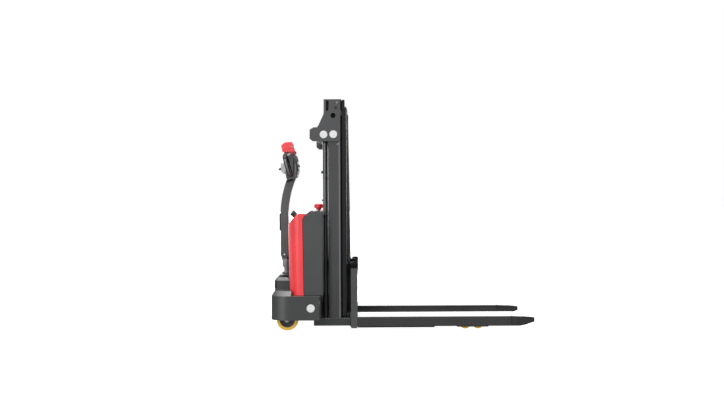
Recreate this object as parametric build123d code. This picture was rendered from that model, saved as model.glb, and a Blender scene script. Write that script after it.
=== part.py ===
from build123d import *
import os
from math import atan2, cos, degrees, pi, radians, sin, sqrt

# Electric stacker, in millimetres. X runs along the forks, Y to the left, Z up from the floor.
# The origin is on the floor in the middle of the truck's length and width.

# Overall sizes
overall_length = 1717.0
chassis_width = 720.0
mast_height = 1486.0
lift_stroke = 900.0
fork_length = 1150.0
fork_width = 160.0
fork_span = 560.0
fork_top = 90.0
tip_x = overall_length / 2
rear_x = -overall_length / 2
fork_face = tip_x - fork_length

# Forks
fork_bottom = 27.0
fork_wall = 8.0
fork_plate = 6.0
fork_centre = (fork_span - fork_width) / 2
nose_length = 160.0
nose_straight = 55.0
nose_tip_width = 96.0
nose_under = ((46.0, 27.0), (96.0, 31.0), (121.0, 38.0), (160.0, 45.0))
nose_over = ((160.0, 73.5), (120.0, 81.0), (76.0, 86.5))
nose_wall = 7.0

# Support legs, bogies and load wheels
leg_width = 132.0
leg_top = 76.0
leg_bottom = 24.0
leg_toe_bottom = 34.0
leg_wall = 8.0
leg_step = 490.0
leg_reach = 862.0
base_bottom = 33.0
base_top = 80.0
base_rear = 281.0
base_front = 50.0
bogie_reach = 740.0
load_wheel_spacing = 84.0
load_wheel_radius = 38.0
load_wheel_width = 72.0
bogie_plate = 6.0
bogie_length = 210.0
bogie_pivot_z = 52.0
bogie_pin_radius = 10.0
load_axle_radius = 9.0

# Mast rails and rollers
mast_width = 550.0
mast_rear_offset = 183.0
rail_depth = 78.0
rail_web = 10.0
rail_flange = 12.0
rail_lip = 50.0
rail_edge_radius = 7.0
inner_shift = 22.0
inner_web = 8.0
inner_outer_y = 262.0
inner_web_y = 214.0
inner_inner_y = 178.0
inner_lip = 5.5
inner_bottom = 92.0
inner_top = 1486.0
roller_radius = 26.6
roller_width = 30.0
roller_axle_radius = 10.0
top_roller_z = 1400.0
foot_roller_z = 124.0

# Mast head plates
head_plate = 8.0
head_bottom = 1217.0
lobe_reach = 302.0
lobe_top = 1307.0
head_rear = 212.0
head_slope_top = 1392.0
tie_radius = 20.0
head_bar_z = (1222.0, 1262.0)
head_bar_rear = 236.0
head_hole_shift = 7.0
head_hole_z = 1381.0
head_hole_radius = 17.0
head_slot_x = (12.0, 5.0)
head_slot_drop = (70.0, 12.0)

# Lift cylinders, chains and sheaves
cylinder_offset = 207.0
cylinder_y = 200.0
barrel_radius = 17.0
barrel_bore = 12.5
gland_radius = 20.0
gland_length = 17.0
rod_radius = 9.5
rod_foot = 150.0
port_bosses = ((1023.0, 27.0, 9.0), (839.0, 22.0, 7.0))
piston_length = 35.0
chain_y = 130.0
chain_width = 20.0
chain_depth = 16.0
chain_front_offset = 70.0
chain_lean = 14.0
sheave_pitch_radius = 40.0
sheave_z = 1430.0
sheave_flange = 3.7
sheave_axle_radius = 10.0

# Fork carriage
carriage_bottom = 16.0
carriage_top = 426.0
end_bar_depth = (42.0, 3.0)
end_bar_thickness = 12.0
cross_bar_thickness = 20.0
upper_bar_bottom = 345.0
lower_bar_top = 170.0
roller_plate_y = (158.0, 174.0)
roller_plate_rear = 150.0
upper_roller_z = 385.0
lower_roller_z = 140.0

# Chassis
skirt_bottom = 83.0
deck_z = 235.0
hump_z = 264.0
hump_taper = 22.0
hump_front_offset = 442.0
hump_horn = 25.0
hump_gap = 2.0
skirt_front_offset = 240.0
skirt_wall = 4.0
deck_plate = 8.0
rear_bow_radius = 2600.0
corner_radius = 45.0
lead_radius = 250.0
lead_angle = 24.0
frame_plate_z = (206.0, 218.0)
bulkhead = 8.0
gusset_y = (140.0, 152.0)
gusset_length = 40.0
disc_seat_x = -585.0
disc_seat_z = 159.0
disc_seat_radius = 26.5
disc_seat_depth = 1.0

# Covers
cover_half_width = 330.0
cover_wall = 4.0
cover_bottom = 236.0
seam_offset = 340.0
seam_curve = ((1.0, 236.0), (-5.0, 716.0), (0.0, 727.0), (9.0, 740.0), (18.0, 752.0))
red_rear_offset = 445.0
red_lean = 8.0
red_shoulder_z = 682.43
red_slope_top = (389.0, 743.0)
red_ease = 1.0
key_offset = 401.25
red_foot_cut = (21.0, 28.0)
red_corner_radius = 80.0
body_front_offset = 217.0
body_recess_y = 228.0
body_top = 747.0
panel_top = 767.0
panel_front_offset = 204.0
stop_collar = 2.0
stop_travel = 5.0
step_half_width = 235.0
step_inset = 16.0
step_side_top = 318.0
step_top = 338.0
step_taper = 18.0

# Drive unit and tiller
steer_offset = 470.0
drive_radius = 85.0
drive_width = 56.0
drive_axle_radius = 15.0
yoke_arm = (34.0, 46.0)
bearing_bore = 60.0
bearing_gap = 75.0
bearing_outer = 88.0
column_radius = 22.0
flange_radius = 28.0
flange_tongue_radius = 22.0
flange_reach = 51.5
flange_height = 12.0
hinge_offset = 502.0
hinge_z = 467.0
arm_depth = 54.0
arm_width = 44.0
arm_slot = 17.0
arm_bend_z = 740.0
arm_bend_radius = 664.0
arm_bend_angle = 24.0
pin_radius = 8.0
head_offset = 468.0
head_z = 1076.0
head_lean = 15.0

# Castors
castor_offset = 425.0
castor_trail = 28.0
castor_y = 246.0
castor_radius = 70.0
castor_width = 50.0
castor_axle_radius = 10.0
castor_stem_radius = 15.0

# Fits
running = 0.05
gap = 0.4


def behind(distance):
    """X of a place that lies this far behind the fork face."""
    return fork_face - distance


def block(x, y, z):
    """Box between the low and high value of each axis."""
    size = [abs(axis[1] - axis[0]) for axis in (x, y, z)]
    middle = [(axis[0] + axis[1]) / 2 for axis in (x, y, z)]
    return Pos(*middle) * Box(*size)


def round_y(x, z, y, radius):
    """Round bar along Y between the two values of y."""
    return Pos(x, (y[0] + y[1]) / 2, z) * Rot(90, 0, 0) * Cylinder(radius, abs(y[1] - y[0]))


def round_z(x, y, z, radius):
    """Round bar along Z between the two values of z."""
    return Pos(x, y, (z[0] + z[1]) / 2) * Cylinder(radius, abs(z[1] - z[0]))


def round_x(y, z, x, radius):
    """Round bar along X between the two values of x."""
    return Pos((x[0] + x[1]) / 2, y, z) * Rot(0, 90, 0) * Cylinder(radius, abs(x[1] - x[0]))


def plate_face(points, corner=0.0):
    """Face in the XZ plane through the given points, with all its corners rounded alike."""
    face = make_face(Polyline(*points, close=True))
    if corner > 0:
        face = fillet(face.vertices(), corner)
    return Plane.XZ * face


def plate(points, y, corner=0.0):
    """Plate between the two values of y with an outline in the XZ plane."""
    return Pos(0, y[0], 0) * extrude(plate_face(points, corner), amount=y[1] - y[0], dir=(0, 1, 0))


def mirrored(shape):
    """The same shape on the other side of the truck."""
    return mirror(shape, about=Plane.XZ)


def pair(shape):
    """A shape and its mirror image as two solids of one piece group."""
    return group(shape, mirrored(shape))


def group(*shapes):
    """Several separate solids kept together as one node."""
    return Compound([solid for shape in shapes for solid in shape.solids()])


# Places that several pieces share
mast_rear = behind(mast_rear_offset)
mast_front = mast_rear + rail_depth
mast_outer_y = mast_width / 2
rail_lip_y = mast_outer_y - rail_lip
inner_rear = mast_rear + inner_shift
inner_front = mast_front + inner_shift
outer_channel_x = (mast_rear + mast_front) / 2
inner_channel_x = (inner_rear + inner_front) / 2
head_hole_x = outer_channel_x - head_hole_shift
inner_web_outer_y = inner_web_y + inner_web
cylinder_x = behind(cylinder_offset)
chain_front_x = behind(chain_front_offset)
sheave_x = chain_front_x - sheave_pitch_radius
chain_rear_x = sheave_x - sheave_pitch_radius
steer_x = behind(steer_offset)
hinge_x = behind(hinge_offset)
bogie_x = fork_face + bogie_reach
castor_x = behind(castor_offset)
skirt_front = behind(skirt_front_offset)
hump_front = behind(hump_front_offset)


def chassis_plan(inset, front):
    """Plan of the skirt, moved inwards by inset: straight sides that lead gently into round corners
    and a bowed rear, each arc tangent to the next."""
    half = chassis_width / 2
    turn = radians(lead_angle)
    lead_y = half - lead_radius
    reach = lead_radius - corner_radius
    bow_x = rear_x + rear_bow_radius
    corner_y = lead_y + reach * cos(turn)
    corner_x = bow_x - sqrt((rear_bow_radius - corner_radius) ** 2 - corner_y**2)
    lead_x = corner_x + reach * sin(turn)
    meet = pi / 2 - atan2(corner_y, bow_x - corner_x)

    def arc_point(x, y, radius, angle):
        """Point of an arc about x and y, with its angle counted from the side towards the rear."""
        return (x - (radius - inset) * sin(angle), y + (radius - inset) * cos(angle))

    def other(point):
        return (point[0], -point[1])

    start = (front, half - inset)
    lead = [arc_point(lead_x, lead_y, lead_radius, share * turn) for share in (0, 0.5, 1)]
    corner = [lead[2], arc_point(corner_x, corner_y, corner_radius, (turn + meet) / 2)]
    corner.append(arc_point(corner_x, corner_y, corner_radius, meet))
    edges = [
        Line(start, lead[0]),
        ThreePointArc(*lead),
        ThreePointArc(*corner),
        ThreePointArc(corner[2], (rear_x + inset, 0), other(corner[2])),
        ThreePointArc(*[other(point) for point in reversed(corner)]),
        ThreePointArc(*[other(point) for point in reversed(lead)]),
        Line(other(lead[0]), other(start)),
        Line(other(start), start),
    ]
    return make_face(edges)


def raised(face, z, height, taper=0.0):
    """A plan face stood up from z, drawn in by taper at its top."""
    return Pos(0, 0, z) * extrude(face, amount=height, taper=degrees(atan2(taper, height)))


def chassis_skirt():
    """Open-bottomed housing round the rear wheels, with a flat deck, a raised rear hump that reaches
    round the corners of the red cover, and a shallow seat for a disc on each side."""
    far_front = skirt_front + 100
    wide = (-chassis_width, chassis_width)
    behind_hump = block((rear_x - 10, hump_front + hump_horn), wide, (0, mast_height))
    behind_hump -= red_plan(-hump_gap)
    inside_hump = block((rear_x - 10, hump_front - deck_plate), wide, (0, mast_height))
    outer = raised(chassis_plan(0, skirt_front), skirt_bottom, deck_z - skirt_bottom)
    outer += raised(chassis_plan(0, far_front), deck_z, hump_z - deck_z, hump_taper) & behind_hump
    inner_floor = skirt_bottom - skirt_wall
    inner_deck = deck_z - deck_plate
    inner_plan = chassis_plan(skirt_wall, far_front)
    inner = raised(inner_plan, inner_floor, inner_deck - inner_floor)
    inner += raised(inner_plan, inner_deck, hump_z - deck_z, hump_taper) & inside_hump
    shell = outer - inner
    seat_y = (chassis_width / 2 - disc_seat_depth, chassis_width / 2 + 1)
    seat = round_y(disc_seat_x, disc_seat_z, seat_y, disc_seat_radius)
    shell -= seat + mirrored(seat)
    return shell - round_z(steer_x, 0, (deck_z - 2 * deck_plate, hump_z + 10), column_radius + 4)


def chassis_frame():
    """Bearing plate with the steering and castor seats, and the bulkhead with gussets on the leg base."""
    thickness = frame_plate_z[1] - frame_plate_z[0]
    frame = raised(chassis_plan(skirt_wall, skirt_front), frame_plate_z[0], thickness)
    half = chassis_width / 2 - skirt_wall
    frame += block((skirt_front, skirt_front + bulkhead), (-half, half), (base_top, deck_z - 3))
    root = skirt_front + bulkhead
    gusset = [(root, base_top), (root + gusset_length, base_top), (root, deck_z - 3)]
    bracket = plate(gusset, gusset_y)
    frame += bracket + mirrored(bracket)
    frame -= round_z(steer_x, 0, frame_plate_z, bearing_outer)
    for y in (castor_y, -castor_y):
        frame -= round_z(castor_x, y, frame_plate_z, castor_stem_radius + running)
    return frame


def leg_base():
    """Hollow crossbeam under the mast that joins both support legs."""
    half = fork_span / 2
    wall = 10.0
    x = (behind(base_rear), behind(base_front))
    beam = block(x, (-half, half), (base_bottom, base_top))
    inner_z = (base_bottom - 1, base_top - wall)
    return beam - block((x[0] + wall, x[1] - wall), (wall - half, half - wall), inner_z)


def leg():
    """Left support leg: a box beam whose front end is open above and below for the bogie."""
    y = (fork_centre - leg_width / 2, fork_centre + leg_width / 2)
    inner_y = (y[0] + leg_wall, y[1] - leg_wall)
    back = behind(base_front)
    step = fork_face + leg_step
    end = fork_face + leg_reach
    outline = [
        (back, leg_bottom),
        (step, leg_bottom),
        (step + 20, leg_toe_bottom),
        (end - 30, leg_toe_bottom),
        (end, leg_toe_bottom + 20),
        (end, leg_top),
        (back, leg_top),
    ]
    beam = plate(outline, y)
    inner_z = (leg_bottom + leg_wall, leg_top - leg_wall)
    beam -= block((back + leg_wall, end - leg_wall), inner_y, inner_z)
    window = (bogie_x - bogie_length / 2 - 9, end - leg_wall)
    beam -= block(window, inner_y, (0, fork_top))
    return beam - round_y(bogie_x, bogie_pivot_z, y, bogie_pin_radius + running)


def bogie():
    """Left rocking frame: two side plates, two wheel axles and a stub pin on each side."""
    half = load_wheel_width / 2 + 1
    length = bogie_length / 2
    outline = [
        (bogie_x - length, 30),
        (bogie_x - length + 12, leg_bottom),
        (bogie_x + length - 12, leg_bottom),
        (bogie_x + length, 30),
        (bogie_x + length, 50),
        (bogie_x + 30, 66),
        (bogie_x - 30, 66),
        (bogie_x - length, 50),
    ]
    frame = None
    for inner, outer in ((half, half + bogie_plate), (-half - bogie_plate, -half)):
        side = plate(outline, (fork_centre + inner, fork_centre + outer))
        frame = side if frame is None else frame + side
    reach = half + bogie_plate
    for x in (bogie_x - load_wheel_spacing / 2, bogie_x + load_wheel_spacing / 2):
        axle_y = (fork_centre - reach, fork_centre + reach)
        frame += round_y(x, load_wheel_radius, axle_y, load_axle_radius)
    pin_end = leg_width / 2 - 2
    for low, high in ((half, pin_end), (-pin_end, -half)):
        pin_y = (fork_centre + low, fork_centre + high)
        frame += round_y(bogie_x, bogie_pivot_z, pin_y, bogie_pin_radius)
    return frame


def load_wheel(x):
    """Left load wheel at x, with a bore that runs on the bogie's axle."""
    y = (fork_centre - load_wheel_width / 2, fork_centre + load_wheel_width / 2)
    wheel = round_y(x, load_wheel_radius, y, load_wheel_radius)
    wheel = chamfer(wheel.edges().filter_by(GeomType.CIRCLE), 3)
    return wheel - round_y(x, load_wheel_radius, y, load_axle_radius + running)


def outer_rail():
    """Left outer mast rail: a channel open to the inside, with the stub axle of its top roller and
    a hole behind the one in the head plate."""
    rear = (mast_rear, mast_rear + rail_flange)
    front = (mast_front - rail_flange, mast_front)
    z = (base_top, mast_height)
    web_y = mast_outer_y - rail_web
    rail = block((mast_rear, mast_front), (web_y, mast_outer_y), z)
    rail += block(rear, (rail_lip_y, mast_outer_y), z)
    rail += block(front, (rail_lip_y, mast_outer_y), (base_top, top_roller_z - 2 * roller_radius))
    outer_corner = rail.edges().filter_by(Axis.Z).group_by(Axis.X)[-1].group_by(Axis.Y)[-1]
    rail = fillet(outer_corner, rail_edge_radius)
    rail -= round_y(head_hole_x, head_hole_z, (web_y, mast_outer_y), head_hole_radius)
    return rail + round_y(inner_channel_x, top_roller_z, (rail_lip_y + 1, web_y), roller_axle_radius)


def inner_rail():
    """Left inner mast rail: an I-section nested in the outer one, with its foot roller's stub axle."""
    rear = (inner_rear, inner_rear + rail_flange)
    front = (inner_front - rail_flange, inner_front + inner_lip)
    z = (inner_bottom, inner_top)
    rail = block((inner_rear, inner_front), (inner_web_y, inner_web_outer_y), z)
    rail += block(front, (inner_inner_y, inner_outer_y), z)
    rail += block(rear, (inner_inner_y, inner_web_outer_y), z)
    flange_y = (inner_web_outer_y, inner_outer_y)
    above_roller = (foot_roller_z + 1.4 * roller_radius, inner_top)
    rail += block(rear, flange_y, above_roller)
    return rail + round_y(outer_channel_x, foot_roller_z, flange_y, roller_axle_radius)


def roller_pair(x, z, y_low):
    """Two coaxial guide rollers, left and right, that turn on stub axles."""
    y = (y_low, y_low + roller_width)
    roller = round_y(x, z, y, roller_radius)
    roller = chamfer(roller.edges().filter_by(GeomType.CIRCLE), 1.5)
    return pair(roller - round_y(x, z, y, roller_axle_radius + running))


def inner_beams():
    """Top and bottom cross beams of the inner mast; the top one takes the rods and the sheave axles."""
    wide = inner_web_outer_y
    top_z = (1412.0, inner_top)
    top = block((inner_rear - 36, inner_rear), (-wide, wide), top_z)
    for y in (cylinder_y, -cylinder_y):
        ear_x = (cylinder_x - rod_radius, inner_rear - 36)
        top += block(ear_x, (y - 18, y + 18), (top_z[0], top_z[0] + 24))
    axle_y = (chain_y - 28, chain_y + 28)
    for side in (1, -1):
        for low, high in ((chain_y - 24, chain_y - 16), (chain_y + 16, chain_y + 24)):
            ear_z = (sheave_z - 18, sheave_z + 20)
            top += block((inner_rear, sheave_x + 18), (side * low, side * high), ear_z)
        top += round_y(sheave_x, sheave_z, (side * axle_y[0], side * axle_y[1]), sheave_axle_radius)
    foot = block((inner_rear - 22, inner_rear), (-wide, wide), (96, 170))
    return group(top, foot)


def chain_sheaves():
    """Two grooved chain wheels that turn on the axles of the inner mast's top beam."""
    groove = sheave_pitch_radius - chain_depth / 2 - gap
    rim = sheave_pitch_radius + chain_depth / 2
    half = chain_width / 2 + gap
    wheel = round_y(sheave_x, sheave_z, (chain_y - half, chain_y + half), groove)
    for low, high in ((half, half + sheave_flange), (-half - sheave_flange, -half)):
        wheel += round_y(sheave_x, sheave_z, (chain_y + low, chain_y + high), rim)
    bore_y = (chain_y - half - sheave_flange, chain_y + half + sheave_flange)
    return pair(wheel - round_y(sheave_x, sheave_z, bore_y, sheave_axle_radius + running))


def front_chain():
    """Left chain from the carriage up to the sheave, leaning back a little, and half way round it."""
    half = chain_depth / 2
    y = (chain_y - chain_width / 2, chain_y + chain_width / 2)
    foot_x = chain_front_x + chain_lean
    outline = [
        (foot_x - half, carriage_top),
        (foot_x + half, carriage_top),
        (chain_front_x + half, sheave_z),
        (chain_front_x - half, sheave_z),
    ]
    fall = plate(outline, y)
    wrap = round_y(sheave_x, sheave_z, y, sheave_pitch_radius + half)
    wrap -= round_y(sheave_x, sheave_z, y, sheave_pitch_radius - half)
    rim = sheave_pitch_radius + half
    wrap &= block((sheave_x - rim, sheave_x + rim), y, (sheave_z, sheave_z + rim))
    return fall + wrap


def rear_chain():
    """Left chain from the sheave down to its anchor on the mast head."""
    half = chain_depth / 2
    y = (chain_y - chain_width / 2, chain_y + chain_width / 2)
    return block((chain_rear_x - half, chain_rear_x + half), y, (head_bar_z[1], sheave_z))


def mast_head():
    """Side plates on top of the outer rails, the tie tube between their lobes and the head bar."""
    y = (mast_outer_y, mast_outer_y + head_plate)
    lobe = [
        (behind(head_rear), mast_height),
        (behind(head_rear), head_slope_top),
        (behind(head_rear + 32), lobe_top + 15),
        (behind(head_rear + 42), lobe_top),
        (behind(lobe_reach - 26), lobe_top),
        (behind(lobe_reach), lobe_top - 16),
        (behind(lobe_reach), head_bottom + 16),
        (behind(lobe_reach - 20), head_bottom),
        (mast_front - 14, head_bottom),
        (mast_front, head_bottom + 14),
        (mast_front, mast_height),
    ]
    side = plate(lobe, y)
    side -= round_y(head_hole_x, head_hole_z, y, head_hole_radius)
    slot_x = (mast_rear - head_slot_x[0], mast_rear + head_slot_x[1])
    side -= block(slot_x, y, (mast_height - head_slot_drop[0], mast_height - head_slot_drop[1]))
    head = side + mirrored(side)
    tie_x = behind(lobe_reach - 42)
    head += round_y(tie_x, (head_bottom + lobe_top) / 2, (-y[0] - 1, y[0] + 1), tie_radius)
    bar_x = (behind(head_bar_rear), mast_rear)
    head += block(bar_x, (-y[0] - 1, y[0] + 1), head_bar_z)
    for side_y in (chain_y, -chain_y):
        lug_y = (side_y - chain_width / 2 - 4, side_y + chain_width / 2 + 4)
        head += block((mast_rear, chain_rear_x + chain_depth), lug_y, head_bar_z)
    for side_y in (cylinder_y, -cylinder_y):
        head -= round_z(cylinder_x, side_y, head_bar_z, rod_radius + 1.5)
    return head


def lift_cylinder():
    """Left cylinder barrel with a closed foot, a gland at its top and two port bosses on its rear."""
    top = head_bar_z[0]
    barrel = round_z(cylinder_x, cylinder_y, (base_top, top - gland_length), barrel_radius)
    barrel += round_z(cylinder_x, cylinder_y, (top - gland_length, top), gland_radius)
    for z, reach, radius in port_bosses:
        barrel += round_x(cylinder_y, z, (cylinder_x - reach, cylinder_x), radius)
    barrel -= round_z(cylinder_x, cylinder_y, (base_top + 30, top - gland_length), barrel_bore)
    return barrel - round_z(cylinder_x, cylinder_y, (top - gland_length, top), rod_radius + running)


def lift_rod():
    """Left piston rod with its piston."""
    piston_z = (rod_foot, rod_foot + piston_length)
    rod = round_z(cylinder_x, cylinder_y, (rod_foot, 1412), rod_radius)
    return rod + round_z(cylinder_x, cylinder_y, piston_z, barrel_bore - running)


def carriage_frame():
    """Welded fork carriage: end bars, two cross bars, roller plates with stub axles and chain lugs."""
    half = fork_span / 2
    bar_x = (behind(cross_bar_thickness), fork_face)
    frame = block(bar_x, (-half, half), (upper_bar_bottom, carriage_top))
    lower_x = (bar_x[0], behind(end_bar_depth[1]))
    frame += block(lower_x, (-half, half), (fork_top, lower_bar_top))
    for side in (1, -1):
        end_x = (behind(end_bar_depth[0]), behind(end_bar_depth[1]))
        end_y = (side * (half - end_bar_thickness), side * half)
        frame += block(end_x, end_y, (carriage_bottom, carriage_top))
        plate_y = (side * roller_plate_y[0], side * roller_plate_y[1])
        frame += block((behind(roller_plate_rear), bar_x[0]), plate_y, (100, carriage_top - 5))
        for z in (upper_roller_z, lower_roller_z):
            stub_y = (side * roller_plate_y[1], side * (inner_web_y - 3))
            frame += round_y(inner_channel_x, z, stub_y, roller_axle_radius)
        lug_y = (side * (chain_y - chain_width / 2 - 2), side * (chain_y + chain_width / 2 + 2))
        frame += block((chain_front_x - chain_depth, bar_x[0]), lug_y, (carriage_top - 30, carriage_top))
    return frame


def nose_outline(inset):
    """Solid of the fork nose, moved inwards by inset: a side outline crossed with a plan outline."""
    start = tip_x - nose_length
    bend = start + nose_straight
    side = [(start, fork_bottom + inset)]
    side += [(min(start + x, tip_x - inset), z + inset) for x, z in nose_under]
    side += [(min(start + x, tip_x - inset), z - inset) for x, z in nose_over]
    side += [(start, fork_top - inset)]
    wide = fork_width / 2 - inset
    tip = nose_tip_width / 2 - inset
    plan = [
        (start, fork_centre - wide),
        (bend, fork_centre - wide),
        (tip_x - 8 - inset, fork_centre - tip),
        (tip_x - inset, fork_centre - tip + 12),
        (tip_x - inset, fork_centre + tip - 12),
        (tip_x - 8 - inset, fork_centre + tip),
        (bend, fork_centre + wide),
        (start, fork_centre + wide),
    ]
    flat = extrude(make_face(Polyline(*plan, close=True)), amount=fork_top + 10)
    return plate(side, (fork_centre - fork_width, fork_centre + fork_width)) & flat


def fork():
    """Left fork: a channel open below, closed at its front by a hollow tapered nose."""
    y = (fork_centre - fork_width / 2, fork_centre + fork_width / 2)
    start = tip_x - nose_length
    back = behind(end_bar_depth[1])
    beam = block((back, start), y, (fork_bottom, fork_top))
    beam = fillet(beam.edges().filter_by(Axis.X).group_by(Axis.Z)[-1], 5)
    inner_y = (y[0] + fork_wall, y[1] - fork_wall)
    beam -= block((back, start), inner_y, (fork_bottom, fork_top - fork_plate))
    return beam + (nose_outline(0) - nose_outline(nose_wall))


def red_plan(inset):
    """Plan of the red cover, moved inwards by inset and stood up along its leaning rear as a solid."""
    long = 2 * (red_rear_offset - seam_offset)
    size = (long - 2 * inset, 2 * (cover_half_width - inset))
    plan = RectangleRounded(*size, red_corner_radius - inset)
    lean = degrees(atan2(red_lean, red_shoulder_z - cover_bottom - red_foot_cut[1]))
    upright = Pos(long / 2 - red_ease, 0, -red_shoulder_z) * extrude(plan, amount=mast_height)
    return Pos(behind(red_rear_offset), 0, red_shoulder_z) * Rot(0, -lean, 0) * upright


def rear_cover():
    """Red rear cover: a shell open to the front and below, with a sloped top and round rear corners."""
    front = behind(seam_offset)
    rear = behind(red_rear_offset)

    def profile(extra):
        low_rear = rear + red_lean
        foot = (low_rear + red_foot_cut[0] * (1 + extra / red_foot_cut[1]), cover_bottom - extra)
        seam = [(front + x + extra, z) for x, z in reversed(seam_curve[1:])]
        low_front = (front + seam_curve[0][0] + extra, cover_bottom - extra)
        back = [(low_rear, cover_bottom + red_foot_cut[1]), (rear, red_shoulder_z)]
        shoulder = [(behind(red_slope_top[0]), red_slope_top[1]), (behind(370), 754)]
        return [low_front, foot, *back, *shoulder, *seam]

    wide = (-cover_half_width, cover_half_width)
    outer = plate(profile(0), wide) & red_plan(0)
    inner_face = offset(plate_face(profile(3 * cover_wall)), amount=-cover_wall)
    inner = Pos(0, wide[0], 0) * extrude(inner_face, amount=wide[1] - wide[0], dir=(0, 1, 0))
    shell = outer - (inner & red_plan(cover_wall))
    return shell - on_slope(round_z(0, 0, (-30, 30), 10))


def body_cover():
    """Dark cover wrapped round the front of the body, stepped back between the lift cylinders."""
    seam = behind(seam_offset)

    def plan(inset):
        front = behind(body_front_offset) - inset
        recess = skirt_front - inset
        wide = cover_half_width - inset
        narrow = body_recess_y + inset
        rear = seam + seam_curve[1][0] - 3 * inset
        half = [(rear, wide), (front, wide), (front, narrow), (recess, narrow)]
        return half + [(x, -y) for x, y in reversed(half)]

    def stand(inset):
        return raised(make_face(Polyline(*plan(inset), close=True)), cover_bottom, body_top - cover_bottom)

    outer = stand(0)
    corners = outer.edges().filter_by(Axis.Z).group_by(Axis.X)[-1].group_by(Axis.Y)
    outer = fillet(corners[0] + corners[-1], 12)
    red_side = [(seam + x, z) for x, z in seam_curve]
    red_side = [(seam - 40, cover_bottom)] + red_side + [(seam - 40, seam_curve[-1][1])]
    return outer - stand(cover_wall) - plate(red_side, (-cover_half_width, cover_half_width))


def estop_place():
    """X and Y of the emergency stop on the top panel."""
    return behind(257), -130


def top_panel():
    """Lid of the body with a sloped rear edge, notches for the cylinders and a hole for the stop."""
    seam = behind(seam_offset)
    front = behind(panel_front_offset)
    rear = seam + seam_curve[-1][0]
    outline = [
        (rear, body_top),
        (rear + 18, panel_top),
        (front, panel_top),
        (front, body_top),
    ]
    lid = plate(outline, (-cover_half_width, cover_half_width))
    corners = lid.edges().filter_by(Axis.Z)
    lid = fillet(corners, 12)
    for y in (cylinder_y, -cylinder_y):
        lid -= round_z(cylinder_x, y, (body_top, panel_top), gland_radius + 2)
        notch_y = (y - gland_radius - 2, y + gland_radius + 2)
        lid -= block((cylinder_x, front), notch_y, (body_top, panel_top))
    stop_x, stop_y = estop_place()
    return lid - round_z(stop_x, stop_y, (body_top, panel_top), 11.5)


def step_cover():
    """Cover over the drive unit: bowed rear, bevelled top and a hole for the steering column."""
    front = hump_front + 1

    def plan(inset):
        half = step_half_width - inset
        strip = Pos(front - 300, 0) * Rectangle(600, 2 * half)
        face = chassis_plan(step_inset + inset, front) & strip
        return fillet(face.vertices().group_by(Axis.X)[0], 28 - inset)

    side_height = step_side_top - hump_z
    cover = raised(plan(0), hump_z, side_height)
    cover += raised(plan(0), step_side_top, step_top - step_side_top, step_taper)
    inner = raised(plan(cover_wall), hump_z, side_height - cover_wall)
    inner_top = step_side_top - cover_wall
    inner += raised(plan(cover_wall), inner_top, step_top - step_side_top, step_taper)
    shell = cover - (inner & block((rear_x, front - 3 * cover_wall), (-400, 400), (0, mast_height)))
    return shell - round_z(steer_x, 0, (hump_z, step_top + 1), column_radius + 2)


def estop_base():
    """Collar and contact body of the emergency stop."""
    x, y = estop_place()
    base = round_z(x, y, (panel_top, panel_top + stop_collar), 22)
    base += round_z(x, y, (700, panel_top), 11.5)
    return base - round_z(x, y, (735, panel_top + stop_collar), 8 + running)


def estop_button():
    """Red mushroom button with a stout neck and a stem that slides in the collar."""
    x, y = estop_place()
    neck_z = panel_top + stop_collar + stop_travel + 1
    profile = [(0, 748), (8, 748), (8, neck_z), (17.5, neck_z), (17.5, 787), (31, 790)]
    profile += [(31, 808), (28, 813.5), (20, 816), (0, 816.5)]
    face = Plane.XZ * make_face(Polyline(*profile, close=True))
    return Pos(x, y, 0) * revolve(face, Axis.Z)


def on_slope(shape):
    """Moves a shape built upright at the origin onto the slope of the red cover, near its right side."""
    rise = red_slope_top[1] - red_shoulder_z
    lean = atan2(rise, red_rear_offset - red_slope_top[0])
    drop = (key_offset - red_slope_top[0]) * sin(lean) / cos(lean)
    place = Pos(behind(key_offset), -150, red_slope_top[1] - drop)
    return place * Rot(0, -degrees(lean), 0) * shape


def key_switch():
    """Lock barrel that stands out of the red cover's slope."""
    barrel = round_z(0, 0, (-24, 0), 10) + round_z(0, 0, (0, 14), 14) + round_z(0, 0, (14, 44), 19)
    return on_slope(barrel - round_z(0, 0, (20, 44), 6))


def key():
    """Key with a flat bow, turning in the lock barrel."""
    blade = round_z(0, 0, (22, 45), 6 - running)
    return on_slope(blade + block((-3, 3), (-11, 11), (45, 60)))


def battery():
    """Two battery blocks with lids and terminal posts."""
    parts = []
    x = (behind(402), behind(246))
    for y in ((8, 268), (-268, -8)):
        case = block(x, y, (deck_z, 450))
        case += block((x[0] + 6, x[1] - 6), (y[0] + 6, y[1] - 6), (450, 462))
        for post_y in (y[0] + 40, y[1] - 40):
            case += round_z((x[0] + x[1]) / 2, post_y, (462, 476), 9)
        parts.append(case)
    return group(*parts)


def pump_motor():
    """Electric motor of the hydraulic pump with its valve block."""
    x = behind(330)
    motor = round_y(x, 570, (-210, -60), 55)
    motor += round_y(x, 570, (-222, -210), 40)
    return motor + block((x - 45, x + 45), (-60, 10), (520, 625))


def hydraulic_tank():
    """Oil tank beside the pump, with a filler neck."""
    x = behind(330)
    tank = fillet(block((x - 75, x + 75), (30, 250), (490, 660)).edges(), 10)
    return tank + round_z(x, 200, (660, 685), 16)


def controller():
    """Motor controller with cooling fins."""
    x = (behind(390), behind(262))
    box = block(x, (-300, -232), (500, 690))
    for step in range(6):
        fin_z = 515 + 30 * step
        box += block(x, (-312, -300), (fin_z, fin_z + 8))
    return box


def bearing_ring(inner, outer):
    """Ring of the steering bearing."""
    z = (200.0, 224.0)
    ring = round_z(steer_x, 0, z, outer) - round_z(steer_x, 0, z, inner)
    return ring


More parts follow.
